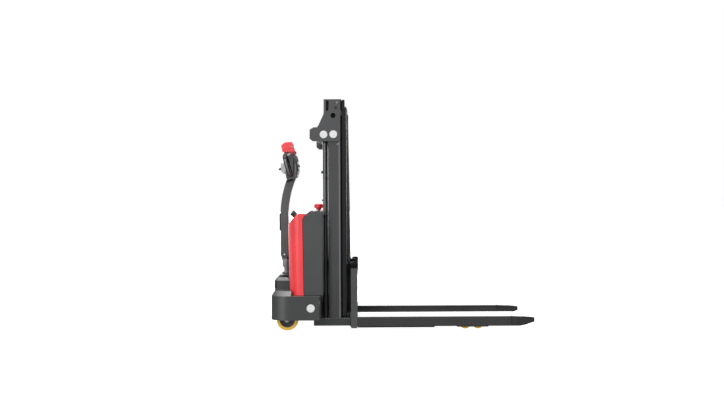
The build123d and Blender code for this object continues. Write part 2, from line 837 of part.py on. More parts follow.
def drive_yoke():
    """Fork over the drive wheel with the steering column on top."""
    yoke = round_z(steer_x, 0, (186, 200), bearing_gap - 1)
    yoke += round_z(steer_x, 0, (200, 224), bearing_bore)
    yoke += round_z(steer_x, 0, (224, step_top + 1), column_radius)
    for side in (1, -1):
        y = (side * yoke_arm[0], side * yoke_arm[1])
        yoke += block((steer_x - 32, steer_x + 32), y, (drive_radius, 186))
        yoke += round_y(steer_x, drive_radius, y, 32)
        yoke -= round_y(steer_x, drive_radius, y, drive_axle_radius)
    return yoke


def drive_axle():
    """Fixed axle of the hub motor with its stator."""
    axle = round_y(steer_x, drive_radius, (-50, 50), drive_axle_radius)
    return axle + round_y(steer_x, drive_radius, (-20, 20), 52)


def drive_wheel():
    """Hub-motor wheel: a hollow rim that runs round the stator, with a bonded tread."""
    y = (-drive_width / 2, drive_width / 2)
    wheel = round_y(steer_x, drive_radius, y, drive_radius)
    wheel = chamfer(wheel.edges().filter_by(GeomType.CIRCLE), 4)
    wheel -= round_y(steer_x, drive_radius, (-23, 23), 56)
    return wheel - round_y(steer_x, drive_radius, y, drive_axle_radius + running)


def castor_yoke():
    """Left castor: swivel stem with nut, bearing housing, two arms and the wheel axle."""
    axle_x = castor_x - castor_trail
    z = castor_radius
    yoke = round_z(castor_x, castor_y, (160, frame_plate_z[0] - gap), 42)
    yoke += round_z(castor_x, castor_y, (200, 226), castor_stem_radius)
    yoke += round_z(castor_x, castor_y, (frame_plate_z[1] + gap, 226), 24)
    yoke += block((castor_x - 52, castor_x + 36), (castor_y - 35, castor_y + 35), (150, 162))
    outline = [
        (castor_x + 36, 150),
        (castor_x + 36, 128),
        (axle_x + 20, z),
        (axle_x + 12, z - 16),
        (axle_x - 12, z - 16),
        (axle_x - 22, z),
        (castor_x - 52, 150),
    ]
    for low, high in ((29, 35), (-35, -29)):
        yoke += plate(outline, (castor_y + low, castor_y + high))
    return yoke + round_y(axle_x, z, (castor_y - 38, castor_y + 38), castor_axle_radius)


def castor_wheel():
    """Left castor wheel with a dished hub and a bonded tread."""
    x = castor_x - castor_trail
    half = castor_width / 2
    y = (castor_y - half, castor_y + half)
    wheel = round_y(x, castor_radius, y, castor_radius)
    wheel = fillet(wheel.edges().filter_by(GeomType.CIRCLE), 5)
    for dish in ((half - 6, half), (-half, 6 - half)):
        dish_y = (castor_y + dish[0], castor_y + dish[1])
        wheel -= round_y(x, castor_radius, dish_y, 46) - round_y(x, castor_radius, dish_y, 20)
    return wheel - round_y(x, castor_radius, y, castor_axle_radius + running)


def tiller_base():
    """Flange on the steering column with the tongue that carries the tiller's hinge."""
    tongue_end = Pos(flange_tongue_radius - flange_reach, 0) * Circle(flange_tongue_radius)
    flange = make_hull([*Circle(flange_radius).edges(), *tongue_end.edges()])
    base = Pos(steer_x, 0, step_top + 1) * extrude(flange, amount=flange_height)
    base = chamfer(base.edges().group_by(Axis.Z)[0], 4)
    floor = step_top + 1 + flange_height
    foot = [
        (hinge_x - 4, floor),
        (hinge_x + 31, floor),
        (hinge_x + 31, 430),
        (hinge_x + 25, 436),
        (hinge_x - 14, 436),
        (hinge_x - 14, floor + 36),
        (hinge_x - 4, floor + 28),
    ]
    base += plate(foot, (-20, 20))
    tongue = [(hinge_x - 20, 430), (hinge_x + 18, 430), (hinge_x + 20, hinge_z), (hinge_x - 20, hinge_z)]
    base += plate(tongue, (-16, 16))
    base += round_y(hinge_x, hinge_z, (-16, 16), 20)
    return base - round_y(hinge_x, hinge_z, (-16, 16), pin_radius + running)


def tiller_pin():
    """Hinge pin of the tiller with a head at each end."""
    half = arm_width / 2
    pin = round_y(hinge_x, hinge_z, (-half, half), pin_radius)
    pin += round_y(hinge_x, hinge_z, (half, half + 3), pin_radius + 4)
    return pin + round_y(hinge_x, hinge_z, (-half - 3, -half), pin_radius + 4)


def arm_outline(depth):
    """Side outline of the tiller arm: round foot, straight run and a gentle forward bend."""
    half = depth / 2
    turn = radians(arm_bend_angle)
    centre_x = hinge_x + arm_bend_radius

    def bend(radius, angle):
        return (centre_x - radius * cos(angle), arm_bend_z + radius * sin(angle))

    outer = arm_bend_radius + half
    inner = arm_bend_radius - half
    foot = (hinge_x, hinge_z - half)
    edges = [
        ThreePointArc((hinge_x + half, hinge_z), foot, (hinge_x - half, hinge_z)),
        Line((hinge_x - half, hinge_z), (hinge_x - half, arm_bend_z)),
        ThreePointArc(bend(outer, 0), bend(outer, turn / 2), bend(outer, turn)),
        Line(bend(outer, turn), bend(inner, turn)),
        ThreePointArc(bend(inner, turn), bend(inner, turn / 2), bend(inner, 0)),
        Line((hinge_x + half, arm_bend_z), (hinge_x + half, hinge_z)),
    ]
    return Plane.XZ * make_face(edges)


def tiller_arm():
    """Hollow tiller arm, forked at its foot round the tongue of the base."""
    half = arm_width / 2
    arm = Pos(0, -half, 0) * extrude(arm_outline(arm_depth), amount=arm_width, dir=(0, 1, 0))
    arm = fillet(arm.edges().filter_by(Axis.Y, reverse=True), 5)
    deep = arm_depth / 2 + 1
    slot = (-arm_slot, arm_slot)
    arm -= block((hinge_x - deep, hinge_x + deep), slot, (hinge_z - deep, hinge_z + 34))
    arm -= block((hinge_x - 22, hinge_x + 22), slot, (hinge_z + 30, arm_bend_z - 20))
    return arm - round_y(hinge_x, hinge_z, (-half, half), pin_radius)


def tiller_cover():
    """Black cover plate on the rear of the tiller arm."""
    rear = hinge_x - arm_depth / 2
    cover = block((rear - 9, rear), (-20, 20), (633, 751))
    return fillet(cover.edges().group_by(Axis.X)[0], 4)


def on_head(shape):
    """Moves a shape built upright at the origin to the tiller head, which leans back."""
    return Pos(behind(head_offset), 0, head_z) * Rot(0, -head_lean, 0) * shape


def tiller_head():
    """Tiller head: a housing between two hand loops, with seats for its buttons and paddle."""
    loops = RectangleRounded(336, 150, 62)
    for y in (96, -96):
        loops -= Pos(y, 0) * RectangleRounded(92, 100, 40)
    frame = Pos(-13, 0, 0) * extrude(Plane.YZ * loops, amount=26)
    frame = fillet(frame.edges().filter_by(Axis.X, reverse=True), 8)
    outline = [(-14, -40), (-34, -50), (-38, -70), (-34, -96), (8, -96), (36, -84)]
    outline += [(61, -42), (68, 46), (56, 90), (-14, 90)]
    housing = plate(outline, (-42, 42))
    housing = fillet(housing.edges().filter_by(Axis.Y), 6)
    head = frame + housing
    for y in ((18, 30), (-30, -18)):
        head += plate([(-10, 20), (-44, 4), (-50, -8), (-44, -20), (-10, -36)], y)
    head -= round_y(-40, -8, (-50, 50), 6 + running)
    head -= round_z(26, 0, (58, 91), 8 + running)
    head -= block((50, 80), (-16, 16), (12, 58))
    head -= round_y(60, 35, (-20, 20), 3 + running)
    head -= round_x(0, -15, (48, 80), 9 + running)
    return on_head(head) - tiller_arm_envelope()


def tiller_arm_envelope():
    """Full outline of the arm as one solid, which the head's socket fits round."""
    half = arm_width / 2
    return Pos(0, -half, 0) * extrude(arm_outline(arm_depth), amount=arm_width, dir=(0, 1, 0))


def belly_button():
    """Red push pad on the end of the tiller head, with a skirt down both sides and its guide stem."""
    outline = [(-16, 108), (70, 108), (71, 138), (64, 154), (18, 163), (-14, 148)]
    pad = plate(outline, (-48, 48))
    pad = fillet(pad.edges(), 6)
    pad += block((64, 70), (-30, 30), (88, 118))
    skirt = [(-15, 110), (-15, 101), (30, 93), (58, 86), (69, 86), (69, 110)]
    for y in ((43.5, 47.5), (-47.5, -43.5)):
        pad += plate(skirt, y)
    return on_head(pad + round_z(26, 0, (70, 109), 8))


def throttle_butterfly():
    """Two thumb paddles on one cross shaft behind the head."""
    shaft = round_y(-40, -8, (-74, 74), 6)
    wing = [(-34, 30), (-42, 28), (-48, 8), (-50, -2), (-66, -4), (-67, -12), (-53, -16)]
    wing += [(-52, -36), (-40, -46), (-32, -44)]
    paddles = shaft
    for y in ((43.5, 74), (-74, -43.5)):
        paddles += plate(wing, y)
    return on_head(paddles)


def lift_rocker():
    """Rocker for lifting and lowering in the front of the head."""
    rocker = block((54, 71), (-15, 15), (17, 53))
    return on_head(rocker + round_y(60, 35, (-19, 19), 3))


def horn_button():
    """Round horn button in the front of the head."""
    return on_head(round_x(0, -15, (54, 70), 9))


def cover_screws():
    """Dome screws on the top panel."""
    parts = []
    for x in (behind(288), behind(250)):
        for y in (300, -300):
            parts.append(Pos(x, y, panel_top) * (Sphere(9) & Pos(0, 0, 2.5) * Box(20, 20, 5)))
    return group(*parts)


left_leg = leg()
left_bogie = bogie()
front_wheel = load_wheel(bogie_x + load_wheel_spacing / 2)
rear_wheel = load_wheel(bogie_x - load_wheel_spacing / 2)
left_outer_rail = outer_rail()
left_inner_rail = inner_rail()
left_fork = fork()
left_castor_yoke = castor_yoke()
left_castor_wheel = castor_wheel()
channel_roller_y = rail_lip_y + 3
carriage_roller_y = inner_inner_y + 2

nodes = {
    "chassis_skirt": chassis_skirt(),
    "chassis_frame": chassis_frame(),
    "step_cover": step_cover(),
    "rear_cover": rear_cover(),
    "body_cover": body_cover(),
    "top_panel": top_panel(),
    "leg_base": leg_base(),
    "left_leg": left_leg,
    "right_leg": mirrored(left_leg),
    "left_mast_rail": left_outer_rail,
    "right_mast_rail": mirrored(left_outer_rail),
    "mast_head": mast_head(),
    "lift_cylinders": pair(lift_cylinder()),
    "pump_motor": pump_motor(),
    "hydraulic_tank": hydraulic_tank(),
    "battery": battery(),
    "controller": controller(),
    "estop_base": estop_base(),
    "key_switch": key_switch(),
    "bearing_outer_ring": bearing_ring(bearing_gap, bearing_outer),
    "cover_screws": cover_screws(),
    "rear_chains": pair(rear_chain()),
    "inner_left_rail": left_inner_rail,
    "inner_right_rail": mirrored(left_inner_rail),
    "inner_beams": inner_beams(),
    "lift_rods": pair(lift_rod()),
    "front_chains": pair(front_chain()),
    "chain_sheaves": chain_sheaves(),
    "mast_top_rollers": roller_pair(inner_channel_x, top_roller_z, channel_roller_y),
    "inner_foot_rollers": roller_pair(outer_channel_x, foot_roller_z, channel_roller_y),
    "carriage_upper_rollers": roller_pair(inner_channel_x, upper_roller_z, carriage_roller_y),
    "carriage_lower_rollers": roller_pair(inner_channel_x, lower_roller_z, carriage_roller_y),
    "carriage_frame": carriage_frame(),
    "left_fork": left_fork,
    "right_fork": mirrored(left_fork),
    "drive_yoke": drive_yoke(),
    "bearing_inner_ring": bearing_ring(bearing_bore, bearing_gap - 0.3),
    "tiller_base": tiller_base(),
    "drive_axle": drive_axle(),
    "drive_wheel": drive_wheel(),
    "tiller_arm": tiller_arm(),
    "tiller_cover": tiller_cover(),
    "tiller_head": tiller_head(),
    "tiller_pin": tiller_pin(),
    "belly_button": belly_button(),
    "throttle_butterfly": throttle_butterfly(),
    "lift_rocker": lift_rocker(),
    "horn_button": horn_button(),
    "key": key(),
    "estop_button": estop_button(),
    "left_castor_yoke": left_castor_yoke,
    "right_castor_yoke": mirrored(left_castor_yoke),
    "left_castor_wheel": left_castor_wheel,
    "right_castor_wheel": mirrored(left_castor_wheel),
    "left_bogie": left_bogie,
    "right_bogie": mirrored(left_bogie),
    "left_front_load_wheel": front_wheel,
    "right_front_load_wheel": mirrored(front_wheel),
    "left_rear_load_wheel": rear_wheel,
    "right_rear_load_wheel": mirrored(rear_wheel),
}

os.makedirs("parts", exist_ok=True)
for name, shape in nodes.items():
    export_step(shape, f"parts/{name}.step")
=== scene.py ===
"""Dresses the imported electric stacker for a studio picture: finishes, chains, wheels, pads and trim."""
import logging
import math
from dataclasses import dataclass, field, replace
from enum import Enum

import bmesh
import bpy
import numpy as np
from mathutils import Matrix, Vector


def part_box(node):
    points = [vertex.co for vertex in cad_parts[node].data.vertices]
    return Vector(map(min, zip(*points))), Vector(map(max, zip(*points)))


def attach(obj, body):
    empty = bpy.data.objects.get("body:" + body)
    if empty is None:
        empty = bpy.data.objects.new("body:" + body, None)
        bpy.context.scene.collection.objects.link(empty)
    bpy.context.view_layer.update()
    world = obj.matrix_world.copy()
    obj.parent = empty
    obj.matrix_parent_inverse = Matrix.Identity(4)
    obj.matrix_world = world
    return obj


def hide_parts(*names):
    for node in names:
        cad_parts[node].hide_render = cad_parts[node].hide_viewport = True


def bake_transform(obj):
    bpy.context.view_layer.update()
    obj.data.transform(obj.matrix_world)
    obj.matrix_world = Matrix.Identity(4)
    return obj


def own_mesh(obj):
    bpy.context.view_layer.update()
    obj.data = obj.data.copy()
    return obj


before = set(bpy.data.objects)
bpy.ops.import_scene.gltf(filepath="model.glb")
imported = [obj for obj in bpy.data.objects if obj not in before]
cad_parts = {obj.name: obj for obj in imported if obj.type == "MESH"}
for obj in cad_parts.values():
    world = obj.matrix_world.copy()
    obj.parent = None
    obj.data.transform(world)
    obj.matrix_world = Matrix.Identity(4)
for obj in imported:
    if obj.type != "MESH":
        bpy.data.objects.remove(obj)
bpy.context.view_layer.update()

LOG = logging.getLogger("stacker")
MERGE_DISTANCE = 1e-6
SHARP_ANGLE = math.radians(38.0)
QUARTER = math.pi / 2
WHITE = (1.0, 1.0, 1.0, 1.0)
X_WAY, Y_WAY = np.eye(3)[:2]

Array = np.ndarray
Socket = bpy.types.NodeSocket
Pair = tuple[float, float]
Outline = tuple[Pair, ...]
Point = tuple[float, float, float]
Colour = tuple[float, float, float]


class Slot(str, Enum):
    """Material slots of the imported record."""

    GRAPHITE = "graphite_paint"
    MAST = "mast_paint"
    FORK = "fork_paint"
    RED = "red_paint"
    COVER = "dark_cover"
    PANEL = "panel_plastic"
    STEP = "step_plastic"
    TILLER = "tiller_paint"
    BLACK = "black_plastic"
    GRIP = "grip_plastic"
    PADDLE = "paddle_plastic"
    BUTTON = "red_plastic"
    BRIGHT = "bright_steel"
    CHROME = "rod_chrome"
    DARK_STEEL = "dark_steel"
    TREAD = "yellow_tread"
    DRIVE = "drive_tread"
    BATTERY = "battery_case"
    MOTOR = "motor_paint"
    TANK = "tank_plastic"
    ALLOY = "controller_alloy"


class Side(Enum):
    """The two sides of the truck, with the sign of their Y."""

    LEFT = 1
    RIGHT = -1

    @property
    def word(self) -> str:
        """Name of the side as the pieces use it."""
        return self.name.lower()


class Axis(Enum):
    """Axis that a piece is turned about: numbers of the two directions square to it, and its own."""

    Y = (2, 0, 1)
    Z = (0, 1, 2)


def full_turn(count: int) -> Array:
    """Angles of so many points round a full turn."""
    return np.arange(count) * (2 * math.pi / count)


def to_flat(turn: Array) -> Array:
    """Angle from the middle of the nearest flat of a hexagon."""
    return (turn + math.pi / 6) % (math.pi / 3) - math.pi / 6


def unit(ways: Array) -> Array:
    """Directions at length 1."""
    return ways / np.linalg.norm(ways, axis=-1, keepdims=True)


def ramp(value: Array, start: float, width: float) -> Array:
    """Goes from 0 to 1 over a width from a start."""
    return np.clip((value - start) / width, 0.0, 1.0)


def points_of(x: "Array | float", y: "Array | float", z: "Array | float") -> Array:
    """Points from their coordinates, spread to one shape."""
    return np.stack(np.broadcast_arrays(x, y, z), axis=-1)


@dataclass(frozen=True)
class Span:
    """Box of a CAD node at rest, in metres."""

    low: Point
    high: Point

    @classmethod
    def of(cls, node: str) -> "Span":
        """Reads the box of a node from the frame."""
        low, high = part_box(node)
        return cls(tuple(map(float, low)), tuple(map(float, high)))

    @property
    def centre(self) -> Point:
        """Middle of the box."""
        return tuple((low + high) / 2 for low, high in zip(self.low, self.high))

    @property
    def size(self) -> Point:
        """Length of the box along each axis."""
        return tuple(high - low for low, high in zip(self.low, self.high))


@dataclass
class Shell:
    """A surface as arrays: one row of points each, one row of four point numbers for each face."""

    points: Array
    faces: Array

    @classmethod
    def from_rings(cls, rings: Array, looped: bool = False) -> "Shell":
        """Joins neighbouring rings of points with quads.

        Point (i, j) joins (i, j + 1), (i + 1, j + 1) and (i + 1, j), with j counted round the ring.
        Rings that don't loop get one more ring at each end, shrunk to its middle, which closes the end.

        Args:
            rings: Points with the shape (rings, points of a ring, 3).
            looped: Whether the last ring joins the first.

        Returns:
            The closed surface.
        """
        if not looped:
            first, last = (np.broadcast_to(end.mean(axis=1, keepdims=True), end.shape)
                           for end in (rings[:1], rings[-1:]))
            rings = np.concatenate([first, rings, last])
        rows, columns = rings.shape[:2]
        i = np.arange(rows if looped else rows - 1)[:, None]
        j = np.arange(columns)[None, :]
        below, above = i * columns, ((i + 1) % rows) * columns
        corners = [below + j, below + (j + 1) % columns, above + (j + 1) % columns, above + j]
        return cls(rings.reshape(-1, 3), np.stack(corners, axis=-1).reshape(-1, 4))

    @classmethod
    def turned(cls, radius: Array, along: Array, centre: Point, axis: Axis = Axis.Y, looped: bool = False,
               steps: int = 48) -> "Shell":
        """A profile turned about an axis: centre + along * axis + radius * (a cos t + b sin t).

        Args:
            radius: Radius of each ring, or a table of ring by angle for a surface that isn't round.
            along: Place of each ring along the axis, or such a table.
            centre: Point on the axis that along counts from.
            axis: Direction of the axis.
            looped: Whether the profile closes on itself.
            steps: Points round the axis where neither is a table.

        Returns:
            The turned surface.
        """
        radius, along = (v[:, None] if v.ndim == 1 else v for v in (np.asarray(radius), np.asarray(along)))
        columns = max(radius.shape[1], along.shape[1])
        turn = full_turn(columns if columns > 1 else steps)
        first, second, third = np.eye(3)[list(axis.value)]
        around = np.cos(turn)[:, None] * first + np.sin(turn)[:, None] * second
        rings = np.array(centre) + radius[..., None] * around + along[..., None] * third
        return cls.from_rings(rings, looped)

    @classmethod
    def carried(cls, profile: Array, spine: Array, side: Array, up: Array) -> "Shell":
        """A profile carried along a path: spine + first of profile * side + second of profile * up.

        Args:
            profile: Points round the section, two values each.
            spine: Points of the path.
            side: Direction of the profile's first value, for the path or for each of its points.
            up: Direction of its second value, likewise.

        Returns:
            The swept surface.
        """
        side, up = (np.broadcast_to(way, spine.shape)[:, None] for way in (side, up))
        return cls.from_rings(spine[:, None] + profile[:, :1] * side + profile[:, 1:] * up)

    @classmethod
    def layered(cls, flat: Array, y: Array) -> "Shell":
        """Outlines of X and Z, with the shape (layers, points, 2), set at one Y each."""
        return cls.from_rings(points_of(flat[..., 0], np.asarray(y)[:, None], flat[..., 1]))

    @classmethod
    def stacked(cls, outline: Array, scale: "Array | tuple[float, ...]", y: Array) -> "Shell":
        """An outline of X and Z set at each Y, scaled there about its middle."""
        middle = outline.mean(axis=0)
        return cls.layered(middle + np.array(scale)[:, None, None] * (outline - middle), y)

    @classmethod
    def joined(cls, shells: "list[Shell]") -> "Shell":
        """Several surfaces as one.

        Args:
            shells: The surfaces.

        Returns:
            One surface with all their points and faces.
        """
        starts = np.cumsum([0] + [len(shell.points) for shell in shells[:-1]])
        faces = [shell.faces + start for shell, start in zip(shells, starts)]
        return cls(np.concatenate([shell.points for shell in shells]), np.concatenate(faces))

    def copies(self, offsets: Array) -> "Shell":
        """The same surface once at each offset."""
        return Shell.joined([Shell(self.points + offset, self.faces) for offset in offsets])

    def on_side(self, side: Side) -> "Shell":
        """A surface built on the left, moved to the given side by mirroring Y."""
        return Shell(self.points * [1.0, side.value, 1.0], self.faces[:, ::side.value])

    def make(self, name: str) -> bpy.types.Object:
        """Puts the surface into a mesh object, closed, turned outwards and smooth between sharp edges.

        Args:
            name: Name of the piece.

        Returns:
            The linked object, with its place in its mesh.
        """
        mesh = bpy.data.meshes.new(name)
        mesh.from_pydata(self.points.tolist(), [], self.faces.tolist())
        work = bmesh.new()
        work.from_mesh(mesh)
        bmesh.ops.remove_doubles(work, verts=work.verts, dist=MERGE_DISTANCE)
        bmesh.ops.recalc_face_normals(work, faces=work.faces)
        work.to_mesh(mesh)
        work.free()
        mesh.shade_smooth()
        mesh.set_sharp_from_angle(angle=SHARP_ANGLE)
        piece = bpy.data.objects.new(name, mesh)
        bpy.context.scene.collection.objects.link(piece)
        return piece


class NodeBench:
    """Lays out the nodes of a material or world."""

    def __init__(self, owner: "bpy.types.Material | bpy.types.World") -> None:
        """Opens the owner's node tree."""
        owner.use_nodes = True
        self.nodes, self.links = owner.node_tree.nodes, owner.node_tree.links

    def fill(self, socket: Socket, value: "Socket | float | tuple[float, ...]") -> None:
        """Links a socket to another one, or sets its value.

        Args:
            socket: Socket to fill.
            value: Another socket, or a fixed value.
        """
        if isinstance(value, Socket):
            self.links.new(value, socket)
        else:
            socket.default_value = value

    def put(self, kind: str, inputs: "dict | None" = None, **settings: str) -> bpy.types.Node:
        """Adds a node.

        Args:
            kind: Its type, without the leading ShaderNode.
            inputs: What goes into its inputs, by their names or numbers.
            settings: Its own settings.

        Returns:
            The node.
        """
        node = self.nodes.new(f"ShaderNode{kind}")
        for name, value in settings.items():
            setattr(node, name, value)
        for name, value in (inputs or {}).items():
            self.fill(node.inputs[name], value)
        return node

    def ranged(self, share: Socket, bounds: Pair, window: Pair = (0.3, 0.7), curve: str = "LINEAR") -> Socket:
        """Maps a value's window onto bounds, straight or by a smooth step."""
        ends = dict(zip(("From Min", "From Max", "To Min", "To Max"), (*window, *bounds)))
        return self.put("MapRange", {"Value": share, **ends}, interpolation_type=curve).outputs["Result"]

    def reckoned(self, operation: str, *values: Socket) -> Socket:
        """Sum, product or other reckoning of one or two values."""
        return self.put("Math", dict(enumerate(values)), operation=operation).outputs["Value"]


class SurfaceBench(NodeBench):
    """Lays out the nodes of one material round its shader."""

    def __init__(self, name: str) -> None:
        """Starts a material with an empty shader and its Object coordinates.

        Args:
            name: Name of the material.
        """
        self.material = bpy.data.materials.new(name)
        super().__init__(self.material)
        self.shader = self.nodes["Principled BSDF"]
        self.place = self.put("TexCoord").outputs["Object"]

    def noise(self, scale: float, detail: float = 3.0, stretch: Point = (1.0, 1.0, 1.0)) -> Socket:
        """Noise with so many grains to the metre, drawn out along the axes with a small stretch."""
        place = self.put("Mapping", {"Vector": self.place, "Scale": stretch}).outputs["Vector"]
        return self.put("TexNoise", {"Vector": place, "Scale": scale, "Detail": detail}).outputs["Fac"]

    def mixed(self, share: Socket, first: "Colour | Socket", second: Colour) -> Socket:
        """Goes from a first colour, where share is 0, to a second one, where it is 1.

        Args:
            share: Share of the second colour.
            first: Fixed colour, or one from other nodes.
            second: Fixed colour.

        Returns:
            The mixed colour.
        """
        node = self.put("Mix", {"Factor": share}, data_type="RGBA")
        start, end = (socket for socket in node.inputs if socket.name in ("A", "B") and socket.type == "RGBA")
        self.fill(start, first if isinstance(first, Socket) else (*first, 1.0))
        self.fill(end, (*second, 1.0))
        return next(socket for socket in node.outputs if socket.type == "RGBA")

    def tinted(self, colour: Socket, tint: "Tint") -> Socket:
        """Goes over to a tint's colour where all its zones hold.

        Args:
            colour: Colour outside the zones.
            tint: Zones, and the colour inside them.

        Returns:
            The tinted colour.
        """
        parts = self.put("SeparateXYZ", {"Vector": self.place}).outputs
        share = None
        for zone in tint.zones:
            value = self.reckoned("ABSOLUTE", parts[zone.part]) if zone.both_sides else parts[zone.part]
            value = self.ranged(value, (0.0, 1.0), zone.window)
            share = value if share is None else self.reckoned("MULTIPLY", share, value)
        return self.mixed(share, colour, tint.colour)

    def relief(self, height: Socket, depth: float, **under: Socket) -> Socket:
        """Bumps the surface by a height from 0 to 1, so many metres deep, on a Normal if one is given."""
        return self.put("Bump", {"Height": height, "Distance": depth, **under}).outputs["Normal"]

    def settle(self, values: dict) -> None:
        """Links or sets the shader's own sockets."""
        for name, value in values.items():
            self.fill(self.shader.inputs[name], value)


@dataclass(frozen=True)
class Zone:
    """Part of a piece along one axis: the share goes from 0 to 1 over the window."""

    part: str
    window: Pair
    both_sides: bool = False


@dataclass(frozen=True)
class Tint:
    """Colour that a finish goes over to where all zones hold."""

    zones: tuple[Zone, ...]
    colour: Colour = (0.008, 0.008, 0.0085)


@dataclass(frozen=True)
class Finish:
    """A surface finish: its colour and how it drifts, its grain, its gloss and its worn edges."""

    name: str
    slot: Slot
    colour: Colour
    drift: Colour
    worn: Colour
    gloss: Pair = (0.38, 0.5)
    patches: float = 7.0
    grain: float = 700.0
    grain_depth: float = 0.00006
    ripple: float = 0.0
    ripple_depth: float = 0.0
    stretch: Point = (1.0, 1.0, 1.0)
    metallic: float = 0.0
    coat: float = 0.0
    coat_gloss: float = 0.12
    specular: float = 0.5
    edge_share: Pair = (0.46, 0.66)
    # Zones of another colour; several finishes use them for painted shade and painted highlights.
    tints: tuple[Tint, ...] = ()

    def material(self) -> bpy.types.Material:
        """The finish on open surfaces."""
        return bpy.data.materials.get(self.name) or self._lay(self.name, worn_edge=False)

    def edge_material(self) -> bpy.types.Material:
        """The finish on rounded edges, rubbed through to its worn colour in places."""
        name = f"{self.name}_edge"
        return bpy.data.materials.get(name) or self._lay(name, worn_edge=True)

    def _lay(self, name: str, worn_edge: bool) -> bpy.types.Material:
        """Lays the nodes: drifting colour, uneven gloss, grain and, on edges, rubbed places.

        Args:
            name: Name of the material.
            worn_edge: Whether the colour goes over to the worn one.

        Returns:
            The material.
        """
        bench = SurfaceBench(name)
        if worn_edge:
            share = bench.ranged(bench.noise(self.patches * 9.0, detail=5.0), (0.0, 1.0), self.edge_share)
        else:
            share = bench.ranged(bench.noise(self.patches, detail=4.0, stretch=self.stretch), (0.0, 1.0))
        colour = bench.mixed(share, self.colour, self.worn if worn_edge else self.drift)
        for tint in self.tints:
            colour = bench.tinted(colour, tint)
        smears = bench.noise(self.patches * 4.0, detail=5.0, stretch=self.stretch)
        normal = bench.relief(bench.noise(self.grain, detail=2.0, stretch=self.stretch), self.grain_depth)
        if self.ripple:
            normal = bench.relief(bench.noise(self.ripple, detail=1.0), self.ripple_depth, Normal=normal)
        bench.settle({
            "Base Color": colour,
            "Roughness": bench.ranged(smears, self.gloss),
            "Normal": normal,
            "Metallic": self.metallic,
            "Coat Weight": self.coat,
            "Coat Roughness": self.coat_gloss,
            "Specular IOR Level": self.specular,
        })
        return bench.material


def shaded(colour: Colour, gain: float, lift: float = 0.0) -> Colour:
    """Colour times a gain plus a lift, at most 1."""
    return tuple(min(1.0, gain * c + lift) for c in colour)


def paint(name: str, slot: Slot, colour: Colour, worn: Colour, gloss: Pair, coat: float,
          **more: object) -> Finish:
    """Powder paint with a faint orange peel, a clear coat of some weight and a colour where it is worn."""
    return Finish(name, slot, colour, shaded(colour, 0.86), worn, gloss, ripple=160.0, ripple_depth=0.00012,
                  coat=coat, **more)


def moulded(name: str, slot: Slot, colour: Colour, gloss: Pair, depth: float, **more: object) -> Finish:
    """Moulded plastic with a fine spark-eroded grain of a depth in metres."""
    return Finish(name, slot, colour, shaded(colour, 0.88), shaded(colour, 1.35, 0.01), gloss, grain=1100.0,
                  grain_depth=depth, **more)


def steel(name: str, slot: Slot, colour: Colour, gloss: Pair, stretch: Point = (1.0, 1.0, 1.0)) -> Finish:
    """Bare steel with fine lines drawn out along the axis with the small stretch."""
    return Finish(name, slot, colour, shaded(colour, 0.7), shaded(colour, 1.25), gloss, patches=18.0,
                  grain=900.0, grain_depth=0.00004, stretch=stretch, metallic=1.0)


